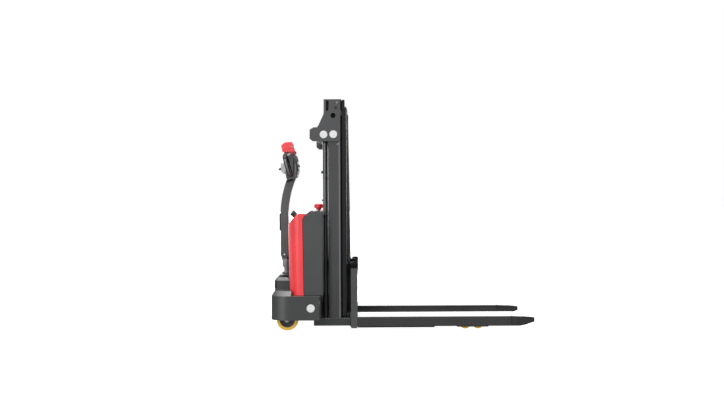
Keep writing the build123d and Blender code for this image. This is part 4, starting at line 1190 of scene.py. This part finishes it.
@dataclass
class ForkTrim(SubAssembly):
    """Weld beads of the forks and the mast foot, the seams of the fork noses and the near-black bars below
    the forks, which paint the shade there.
    """

    heel_bead: float = 0.004
    heel_ends: Pair = (0.006, 0.014)
    foot_bead: float = 0.005
    foot_end: float = 0.004
    nose_length: float = 0.160
    seam_width: float = 0.0035
    seam_height: float = 0.0005
    seam_round: float = 0.005
    bar_front: float = 0.211
    bar_slant: float = 0.012
    bar_back: float = 0.002
    bar_rise: float = 0.006
    bar_drop: float = 0.0068
    bar_wall: float = 0.0072
    bar_sink: float = 0.0003
    bar_ease: float = 0.0006

    def _nose_seam(self, fork: Span) -> Shell:
        """Ground weld where the nose joins the fork: a flat band up one side, over the top and down.

        Args:
            fork: Box of the fork.

        Returns:
            The closed band.
        """
        steps, half = 8, fork.size[1] / 2
        corners = [(-half, fork.low[2]), (-half, fork.high[2]), (half, fork.high[2]), (half, fork.low[2])]
        path = rounded_profile(corners, self.seam_round, steps)[steps - 1:1 - steps]
        spine = points_of(fork.high[0] - self.nose_length, fork.centre[1] + path[:, 0], path[:, 1])
        w, h = self.seam_width / 2, self.seam_height
        profile = np.array([[-w, -h], [-0.8 * w, 0.8 * h], [0.0, h], [0.8 * w, 0.8 * h], [w, -h]])
        return Shell.carried(profile, spine, X_WAY, np.cross(unit(np.gradient(spine, axis=0)), X_WAY))

    def _stiffener(self, fork: Span) -> Shell:
        """Flat bar under the outer wall of a fork, from the heel to a slanted front end, with eased rims; its
        near black paints the shade low under the fork.

        Args:
            fork: Box of the fork.

        Returns:
            The closed bar.
        """
        back, top, low = fork.low[0] + self.bar_back, fork.low[2] + self.bar_rise, fork.low[2] - self.bar_drop
        outline = rounded_profile(
            [(back, top), (back, low), (self.bar_front - self.bar_slant, low), (self.bar_front, top)], 0.003)
        ease = self.bar_ease * np.array([1.0, 0.0, 0.0, 1.0])[:, None, None]
        y = fork.high[1] - self.bar_sink - self.bar_wall * np.array([1.0, 0.9, 0.1, 0.0])
        return Shell.layered(outline - ease * np.sign(outline - outline.mean(axis=0)), y)

    def build(self) -> None:
        """Builds seams, bars and beads on both sides."""
        fork, rail = Span.of("left_fork"), Span.of("left_mast_rail")
        self.pair("nose_seam", self._nose_seam(fork), Palette.SEAM, "carriage")
        # near-black bars: painted shade low under the forks
        self.pair("fork_stiffener", self._stiffener(fork), Palette.SEAM, "carriage")
        x, z = fork.low[0], fork.high[2]
        heel = bead((x, fork.low[1] + self.heel_ends[0], z), (x, fork.high[1] - self.heel_ends[1], z),
                    (1.0, 0.0, 1.0), self.heel_bead)
        self.pair("heel_weld", heel, Palette.WELD, "carriage")
        y, z = rail.high[1], Span.of("leg_base").high[2]
        foot = bead((rail.low[0] + self.foot_end, y, z), (rail.high[0] - self.foot_end, y, z),
                    (0.0, 1.0, 1.0), self.foot_bead)
        self.pair("mast_foot_weld", foot, Palette.WELD, "chassis")


@dataclass
class MastTrim(SubAssembly):
    """Small parts of the mast: a black disc in the head's hole and a black sheet over its slot, both painted
    shade, ears of the head, screws, axle ends, slide strips.
    """

    # Black disc that paints the shade inside the head's hole.
    plug_place: Pair = (-0.4425, 1.381)
    hole_shade_radius: float = 0.0167
    hole_shade_sink: float = 0.004
    plug_dish: float = 0.003
    screw_place: Pair = (-0.4255, 1.433)
    screw_radius: float = 0.0085
    screw_rim: tuple[float, ...] = (0.96, 1.0, 1.0, 0.9)
    screw_rise: tuple[float, ...] = (-0.0005, 0.0004, 0.0022, 0.0034, 0.0034, 0.0006)
    socket_radius: float = 0.0036
    socket_taper: float = 0.98
    head_axle: Pair = (-0.4164, 1.4636)
    rail_axle: Pair = (-0.4130, 1.198)
    axle_radius: float = 0.0062
    axle_profile: Outline = ((1.0, -0.0005), (1.0, 0.0008), (0.82, 0.0016), (0.3, 0.0016), (0.12, 0.0006))
    corner_round: float = 0.003
    # Black sheet over the head's slot: painted shade.
    cover_layers: Outline = ((1.0, -0.002), (1.0, 0.0004), (0.96, 0.0008))
    slot_corners: Outline = ((-0.4885, 1.414), (-0.4745, 1.411), (-0.4735, 1.479), (-0.4865, 1.479))
    ear_corners: Outline = ((-0.406, 1.462), (-0.3885, 1.470), (-0.3875, 1.4850), (-0.406, 1.4850))
    ear_wall: float = 0.012
    ear_layers: Outline = ((0.94, 1.0), (1.0, 0.92), (1.0, 0.12), (0.94, 0.04))
    strip_depth: float = 0.0095
    strip_y: Pair = (0.181, 0.258)
    strip_cut: float = 0.003
    strip_margin: Pair = (0.012, 0.048)

    def _plug(self, face: float) -> Shell:
        """Dished black disc in the head's hole, painted shade for the hole's dark inside: a rounded rim and a
        face that sinks as the square of the way in.

        Args:
            face: Y of the mast head's side.

        Returns:
            The closed disc.
        """
        share = np.linspace(1.0, 0.08, 9)
        y = np.r_[-self.hole_shade_sink, -self.plug_dish * (1 - share**2)]
        x, z = self.plug_place
        return Shell.turned(self.hole_shade_radius * np.r_[1.0, share], y, (x, face - self.hole_shade_sink, z))

    def _screw(self, face: float) -> Shell:
        """Round-headed screw with a six-sided socket: the socket's radius follows the angle to its flats.

        Args:
            face: Y of the mast head's side.

        Returns:
            The closed screw.
        """
        socket = self.socket_radius / np.cos(to_flat(full_turn(48)))
        head = np.full_like(socket, self.screw_radius) * np.array(self.screw_rim)[:, None]
        x, z = self.screw_place
        radius = np.stack([*head, socket, self.socket_taper * socket])
        return Shell.turned(radius, self.screw_rise, (x, face, z))

    def _axle_end(self, place: Pair, face: float) -> Shell:
        """Turned end of an axle with a chamfer and a centre mark."""
        share, rise = np.array(self.axle_profile).T
        return Shell.turned(share * self.axle_radius, rise, (place[0], face, place[1]))

    def _slide_strip(self) -> Shell:
        """Slide strip on the front of an inner rail: a flat bar with chamfered long edges and ends.

        Returns:
            The closed strip.
        """
        rail, cut, deep = Span.of("inner_left_rail"), self.strip_cut, self.strip_depth
        low, high = self.strip_y
        section = np.array([[0.0, low], [deep - cut, low], [deep, low + cut],
                            [deep, high - cut], [deep - cut, high], [0.0, high]])
        foot, head = rail.low[2] + self.strip_margin[0], rail.high[2] - self.strip_margin[1]
        z = np.array([foot, foot + cut, head - cut, head])[:, None]
        x = rail.high[0] + section[:, 0] * np.array([0.7, 1.0, 1.0, 0.7])[:, None]
        return Shell.from_rings(points_of(x, section[:, 1], z))

    def build(self) -> None:
        """Builds the parts on both sides; the black sheet over the slot and the ears are rounded outlines
        with drawn-in rims.
        """
        head, rail = Span.of("mast_head").high[1], Span.of("left_mast_rail").high[1]
        scale, rise = np.array(self.cover_layers).T
        cover = Shell.stacked(rounded_profile(self.slot_corners, self.corner_round), scale, head + rise)
        scale, share = np.array(self.ear_layers).T
        ear = rounded_profile(self.ear_corners, self.corner_round)
        ear = Shell.stacked(ear, scale, head - self.ear_wall * share)
        # black disc in the hole: painted shade
        self.pair("head_plug", self._plug(head), Palette.RUBBER, "chassis")
        self.pair("head_screw", self._screw(head), Palette.BLACK, "chassis")
        self.pair("head_axle_end", self._axle_end(self.head_axle, head), Palette.AXLE, "chassis")
        # black sheet over the head's slot: painted shade for the slot's dark inside
        self.pair("head_slot_cover", cover, Palette.RUBBER, "chassis")
        self.pair("head_ear", ear, Palette.INNER_RAIL, "chassis")
        self.pair("slide_strip", self._slide_strip(), Palette.INNER_RAIL, "inner_mast")
        self.pair("rail_axle_end", self._axle_end(self.rail_axle, rail), Palette.AXLE, "chassis")


@dataclass
class LoadRest(SubAssembly):
    """Rubber sleeve round the upper bar of the carriage, which the load leans on, with caps over its ends;
    its black is partly painted shade on the bar's top and front.
    """

    bar_depth: float = 0.020
    bar_height: float = 0.081
    wall: float = 0.0015
    corner: float = 0.003
    groove: float = 0.0008
    groove_count: int = 5
    groove_end: float = 0.004
    groove_wave: Pair = (0.6, 0.4)
    inner_half: float = 0.2675
    outer_half: float = 0.2793
    end_inner: float = 0.135
    end_depth: float = 0.0445
    end_height: float = 0.027
    end_step: float = 0.0005
    end_lip: float = 0.0012

    def _section(self, back: float, front: float, low: float, high: float) -> Array:
        """Rounded box with shallow grooves along its front: the depth falls by a raised cosine at each.

        Args:
            back: Rear face.
            front: Front face.
            low: Lower face.
            high: Upper face.

        Returns:
            Points of the section, as one layer.
        """
        rise = np.linspace(low + self.groove_end, high - self.groove_end, 41)
        phase = (rise - low) / (high - low) * (self.groove_count + 1)
        dip = self.groove * ramp(np.cos(2 * math.pi * phase), *self.groove_wave)
        turn = np.linspace(0.0, QUARTER, 5) + QUARTER * np.arange(4)[:, None]
        r = self.corner
        x = np.array([front - r, back + r, back + r, front - r])[:, None] + r * np.cos(turn)
        z = np.array([high - r, high - r, low + r, low + r])[:, None] + r * np.sin(turn)
        return np.stack([np.r_[front - dip, x.ravel()], np.r_[rise, z.ravel()]], axis=-1)[None]

    def build(self) -> None:
        """Builds the sleeve and its two end caps."""
        bar = Span.of("carriage_frame")
        front, top, half = bar.high[0] + self.wall, bar.high[2] + self.wall, self.inner_half
        section = self._section(bar.high[0] - self.bar_depth - self.wall, front,
                                bar.high[2] - self.bar_height - self.wall, top)
        sleeve = Shell.layered(section, half * np.array([-1.0, -0.996, -0.5, 0.0, 0.5, 0.996, 1.0]))
        # the black sleeve: partly the bar's own black, partly painted shade on its top and front
        self.add("load_rest_sleeve", sleeve, Palette.RUBBER, "carriage")
        section = self._section(front - self.end_depth, front - self.end_step,
                                top - self.end_height, top - self.end_step)
        cap = Shell.layered(section, [self.end_inner, half, self.outer_half, self.outer_half + self.end_lip])
        self.pair("load_rest_end", cap, Palette.RUBBER, "carriage")


@dataclass(frozen=True)
class Slab:
    """Small plate on the side of the tiller head, with its outline in the head's own frame."""

    name: str
    finish: Finish
    body: str
    span: Pair
    soft: float
    corners: Outline


@dataclass
class TillerTrim(SubAssembly):
    """Trim of the tiller: light strips on the loops that paint their highlight, plates on head, paddle and
    red pad, collar, hinge stop and bolts.
    """

    head_x: float = -0.7595
    head_z: float = 1.076
    head_lean: float = math.radians(15.0)
    loop_half_width: float = 0.168
    loop_half_height: float = 0.075
    loop_corner: float = 0.062
    inlay_turn: Pair = (-1.3, 0.4)
    highlight_half_width: float = 0.006
    highlight_height: float = 0.0012
    highlight_sink: float = 0.001
    slab_round: float = 0.002
    drawn_in: tuple[float, ...] = (0.9, 1.0, 1.0, 0.9)
    slabs: tuple[Slab, ...] = (
        Slab("paddle_tip", Palette.BLACK, "throttle_butterfly", (0.043, 0.0745), 0.0012,
             ((-0.0495, -0.0010), (-0.0668, -0.0030), (-0.0680, -0.0125), (-0.0525, -0.0165))),
        Slab("paddle_face", Palette.PADDLE, "throttle_butterfly", (0.054, 0.0735), 0.0015,
             ((-0.036, 0.030), (-0.0225, 0.019), (-0.0215, -0.028), (-0.034, -0.045))),
        Slab("head_rim", Palette.PADDLE, "tiller", (0.0405, 0.0432), 0.0006,
             ((0.002, 0.060), (0.008, 0.076), (0.050, 0.090), (0.054, 0.080))),
        Slab("belly_lip", Palette.LIP, "belly_button", (0.0436, 0.0474), 0.0008,
             ((0.026, 0.092), (0.038, 0.068), (0.052, 0.063), (0.065, 0.072), (0.0685, 0.089))),
        # painted highlight: a light patch on the side of the red pad
        Slab("belly_window", Palette.TRIM, "belly_button", (0.0465, 0.0486), 0.0004,
             ((0.051, 0.1235), (0.0657, 0.1205), (0.066, 0.1095), (0.0515, 0.1125))),
        Slab("head_seam", Palette.RUBBER, "tiller", (0.0410, 0.0427), 0.0004,
             ((0.0457, 0.0437), (0.0503, 0.0423), (0.0213, -0.0567), (0.0167, -0.0553))),
        Slab("head_streak", Palette.TRIM, "tiller", (0.0410, 0.0427), 0.0004,
             ((0.0479, 0.0006), (0.0521, -0.0006), (0.0265, -0.0826), (0.0223, -0.0814))),
        Slab("head_band", Palette.BLACK, "tiller", (0.0410, 0.0427), 0.0004,
             ((0.0570, 0.0304), (0.0635, 0.0296), (0.0532, -0.0504), (0.0467, -0.0496))),
    )
    collar_z: Pair = (-0.1005, -0.0925)
    collar_centre: float = -0.019
    collar_half: Pair = (0.025, 0.0435)
    collar_round: float = 0.010
    hinge_place: Pair = (-0.7935, 0.467)
    bolt_radius: float = 0.0068
    bolt_rim: float = 0.0006
    bolt_dome: float = 0.0030
    stop_corners: Outline = (
        (-0.7775, 0.428), (-0.7625, 0.428), (-0.7620, 0.452), (-0.7655, 0.4600), (-0.7775, 0.4600))
    stop_half: float = 0.0145
    stop_round: float = 0.003

    def _on_head(self, shell: Shell) -> Shell:
        """Turns a surface from the upright head frame to the leaning head: x cos - z sin, x sin + z cos.

        Args:
            shell: Surface in the upright frame.

        Returns:
            The turned surface.
        """
        cos, sin = math.cos(self.head_lean), math.sin(self.head_lean)
        x, y, z = shell.points.T
        points = points_of(self.head_x + x * cos - z * sin, y, self.head_z + x * sin + z * cos)
        return Shell(points, shell.faces)

    def _inlay(self) -> Shell:
        """Light strip along the outer round of a hand loop, low and crowned: a painted highlight on the black
        loop.

        Returns:
            The closed strip.
        """
        turn = np.linspace(*self.inlay_turn, 41)
        out = points_of(0.0, np.cos(turn), np.sin(turn))
        spine = self.loop_corner * out
        spine[:, 1] += self.loop_half_width - self.loop_corner
        flat = self.loop_half_height - self.loop_corner
        spine[:, 2] += np.sign(turn) * flat * np.minimum(1.0, np.abs(turn) / 0.08)
        share, half = np.linspace(-1.0, 1.0, 9), self.highlight_half_width
        top = np.stack([half * share, self.highlight_height * (1 - share**4)], axis=-1)
        profile = np.concatenate([top, [[half, -self.highlight_sink], [-half, -self.highlight_sink]]])
        return self._on_head(Shell.carried(profile, spine, X_WAY, out))

    def _slab(self, slab: Slab) -> Shell:
        """Rounded outline of the head's side view, carried across and drawn in by a tenth at both ends.

        Args:
            slab: Its row of the table.

        Returns:
            The closed slab.
        """
        (low, high), soft = slab.span, slab.soft
        outline = rounded_profile(slab.corners, self.slab_round)
        return self._on_head(Shell.stacked(outline, self.drawn_in, [low, low + soft, high - soft, high]))

    def _collar(self) -> Shell:
        """Black collar where the arm enters the head, its black partly painted shade between head and arm: a
        rounded box section that bulges half way up.

        Returns:
            The closed collar.
        """
        rise = np.linspace(0.0, 1.0, 9)[:, None]
        (deep, wide), (low, high) = self.collar_half, self.collar_z
        box = ((-deep, -wide), (deep, -wide), (deep, wide), (-deep, wide))
        outline = rounded_profile(box, self.collar_round, 6)
        swell = 0.97 + 0.03 * np.sin(math.pi * rise)
        x, y = self.collar_centre + swell * outline[:, 0], swell * outline[:, 1]
        return self._on_head(Shell.from_rings(points_of(x, y, low + (high - low) * rise)))

    def _bolt(self) -> Shell:
        """Domed end of the hinge bolt: its height falls as the cosine of the way out.

        Returns:
            The closed bolt end.
        """
        share = np.linspace(QUARTER, 0.15, 7)
        y = np.r_[-self.bolt_rim, self.bolt_rim + self.bolt_dome * np.cos(share)]
        x, z = self.hinge_place
        r = self.bolt_radius * np.r_[1.0, np.sin(share)]
        return Shell.turned(r, y, (x, Span.of("tiller_pin").high[1], z))

    def build(self) -> None:
        """Builds collar and stop, and the trim on both sides."""
        # black collar: partly painted shade between head and arm
        self.add("neck_collar", self._collar(), Palette.RUBBER, "tiller")
        stop_y = self.stop_half * np.array([-1.0, -0.9, 0.9, 1.0])
        stop = Shell.stacked(rounded_profile(self.stop_corners, self.stop_round), self.drawn_in, stop_y)
        self.add("hinge_stop", stop, Palette.RUBBER, "steering")
        # light strips on the loops: painted highlight
        self.pair("loop_inlay", self._inlay(), Palette.LOOP_INLAY, "tiller")
        self.pair("hinge_bolt", self._bolt(), Palette.BRIGHT, "tiller")
        for slab in self.slabs:
            self.pair(slab.name, self._slab(slab), slab.finish, slab.body)


@dataclass(frozen=True)
class Patch:
    """Round patch of light on the horizon: degrees left of the front, to its edge and core, and strength."""

    bearing: float
    spread: Pair
    strength: float


@dataclass
class Studio:
    """Pale floor, soft light and the camera at the photograph's place."""

    camera_at: Point = (-0.2595, -3.93, 0.813)
    camera_roll: float = math.radians(0.3)
    focal_pixels: float = 569.0
    image_width: float = 724.0
    sensor: float = 36.0
    floor_half: float = 60.0
    floor_glow: float = 0.97
    floor_colours: tuple[Colour, Colour] = ((0.56, 0.56, 0.56), (0.54, 0.54, 0.54))
    below_light: float = 0.42
    front_light: float = 0.92
    flank_light: float = 0.3
    back_light: float = 0.75
    band_light: float = 2.2
    top_light: float = 7.5
    front_window: Pair = (-0.75, -0.15)
    back_window: Pair = (0.1, 0.6)
    band_window: Pair = (0.3, 0.7)
    band_height: Pair = (0.24, 0.42)
    top_height: Pair = (0.72, 0.95)
    horizon: Pair = (-0.12, 0.0)
    left_patch: Patch = Patch(32.0, (17.0, 9.0), 1.5)
    side_patch: Patch = Patch(98.0, (13.0, 6.0), 1.0)
    side_shade: Patch = Patch(68.0, (24.0, 12.0), -0.36)
    patch_height: Pair = (-0.17, -0.13)
    shade_height: Pair = (-0.17, -0.12)
    target: Point = (-0.2, 0.0, 0.6)
    softboxes: tuple[tuple[str, Point, Pair, float], ...] = (
        ("left_softbox", (-2.6, -4.2, 1.7), (0.8, 2.2), 30.0),
        ("right_softbox", (3.0, -3.6, 1.9), (1.2, 2.2), 45.0),
    )

    def _camera(self) -> None:
        """Level camera along +Y, turned a little about its own axis."""
        data = bpy.data.cameras.new("camera")
        data.sensor_width = self.sensor
        data.lens = self.sensor * self.focal_pixels / self.image_width
        camera = bpy.data.objects.new("camera", data)
        camera.location = self.camera_at
        camera.rotation_euler = (QUARTER, self.camera_roll, 0.0)
        bpy.context.scene.collection.objects.link(camera)
        bpy.context.scene.camera = camera

    def _floor(self) -> None:
        """Pale floor with a faint cloudiness, which lights nothing itself: the sky's lower half does."""
        half = self.floor_half
        mesh = bpy.data.meshes.new("floor")
        corners = [(-half, -half, 0), (half, -half, 0), (half, half, 0), (-half, half, 0)]
        mesh.from_pydata(corners, [], [(0, 1, 2, 3)])
        floor = bpy.data.objects.new("floor", mesh)
        bench = SurfaceBench("pale_floor")
        cloud = bench.noise(1.5)
        bench.settle({
            "Base Color": bench.mixed(cloud, *self.floor_colours),
            "Roughness": bench.ranged(cloud, (0.7, 0.8)),
            "Emission Color": WHITE,
            "Emission Strength": self.floor_glow,
            "Specular IOR Level": 0.1,
        })
        mesh.materials.append(bench.material)
        bpy.context.scene.collection.objects.link(floor)
        floor.visible_diffuse = False
        floor.visible_glossy = False

    def _sky(self) -> None:
        """Light from all round, with plain white where the camera itself looks.

        It is soft in front and behind and low at the two ends and below, with a bright band low behind the
        truck, a bright patch overhead and small patches on the horizon.
        """
        world = bpy.data.worlds.new("studio")
        bench = NodeBench(world)
        bench.nodes.clear()
        look = bench.put("TexCoord").outputs["Generated"]
        parts = bench.put("SeparateXYZ", {"Vector": look}).outputs
        reckoned = bench.reckoned

        def faded(part: str, window: Pair, ends: Pair) -> Socket:
            """Smooth step of one part of the direction, from one end value to the other over a window."""
            return bench.ranged(parts[part], ends, window, "SMOOTHSTEP")

        def patched(patch: Patch) -> Socket:
            """A patch's strength, by the smooth step of the cosine of the way to its middle.

            Args:
                patch: The patch.

            Returns:
                The strength that it adds.
            """
            turn = math.radians(patch.bearing)
            way = (-math.sin(turn), -math.cos(turn), 0.0)
            toward = bench.put("VectorMath", {0: look, 1: way}, operation="DOT_PRODUCT").outputs["Value"]
            edge, core = (math.cos(math.radians(angle)) for angle in patch.spread)
            return bench.ranged(toward, (0.0, patch.strength), (edge, core), "SMOOTHSTEP")

        front = faded("Y", self.front_window, (self.front_light - self.flank_light, 0.0))
        back = faded("Y", self.back_window, (self.flank_light, self.back_light))
        band = reckoned("MULTIPLY", faded("Y", self.band_window, (0.0, self.band_light)),
                        faded("Z", self.band_height, (1.0, 0.0)))
        above = faded("Z", self.top_height, (0.0, self.top_light))
        upper = reckoned("ADD", reckoned("ADD", front, back), reckoned("ADD", band, above))
        upper = reckoned("MULTIPLY", upper, faded("Z", self.horizon, (0.0, 1.0)))
        total = reckoned("ADD", upper, faded("Z", self.horizon, (self.below_light, 0.0)))
        side = reckoned("MULTIPLY", patched(self.side_patch), faded("Z", self.patch_height, (0.0, 1.0)))
        shade = reckoned("MULTIPLY", patched(self.side_shade), faded("Z", self.shade_height, (1.0, 0.0)))
        patches = reckoned("ADD", patched(self.left_patch), reckoned("ADD", side, shade))
        lit = bench.put("Background", {"Color": WHITE, "Strength": reckoned("ADD", total, patches)})
        seen = bench.put("Background", {"Color": WHITE})
        choice = bench.put("LightPath").outputs["Is Camera Ray"]
        sources = {1: lit.outputs["Background"], 2: seen.outputs["Background"]}
        shown = bench.put("MixShader", {"Fac": choice, **sources})
        bench.put("OutputWorld", {"Surface": shown.outputs["Shader"]})
        bpy.context.scene.world = world

    def _softbox(self, name: str, place: Point, size: Pair, power: float) -> None:
        """Large soft lamp that faces the truck.

        Args:
            name: Name of the lamp.
            place: Where it stands.
            size: Width and height of its face.
            power: Power in watts.
        """
        data = bpy.data.lights.new(name, "AREA")
        data.shape = "RECTANGLE"
        data.size, data.size_y = size
        data.energy = power
        lamp = bpy.data.objects.new(name, data)
        lamp.location = place
        way = np.array(self.target) - np.array(place)
        tilt = math.acos(-way[2] / np.linalg.norm(way))
        lamp.rotation_euler = (tilt, 0.0, math.atan2(way[1], way[0]) - QUARTER)
        lamp.visible_camera = False
        bpy.context.scene.collection.objects.link(lamp)

    def build(self) -> None:
        """Sets up camera, floor and light."""
        bpy.context.scene.view_settings.view_transform = "Standard"
        self._camera()
        self._floor()
        self._sky()
        for softbox in self.softboxes:
            self._softbox(*softbox)
        LOG.info("studio ready")


def main() -> None:
    """Builds the studio and the truck's sub-assemblies in order."""
    logging.basicConfig(level=logging.INFO, format="%(name)s: %(message)s")
    Studio().build()
    FrameDress().build()
    for assembly in (Bodywork(), Chains(), MastTrim(), LoadRest(), Wheels(), ForkTrim(), TillerTrim()):
        assembly.build()
        LOG.info("finished %s", type(assembly).__name__)


if __name__ == "__main__":
    main()
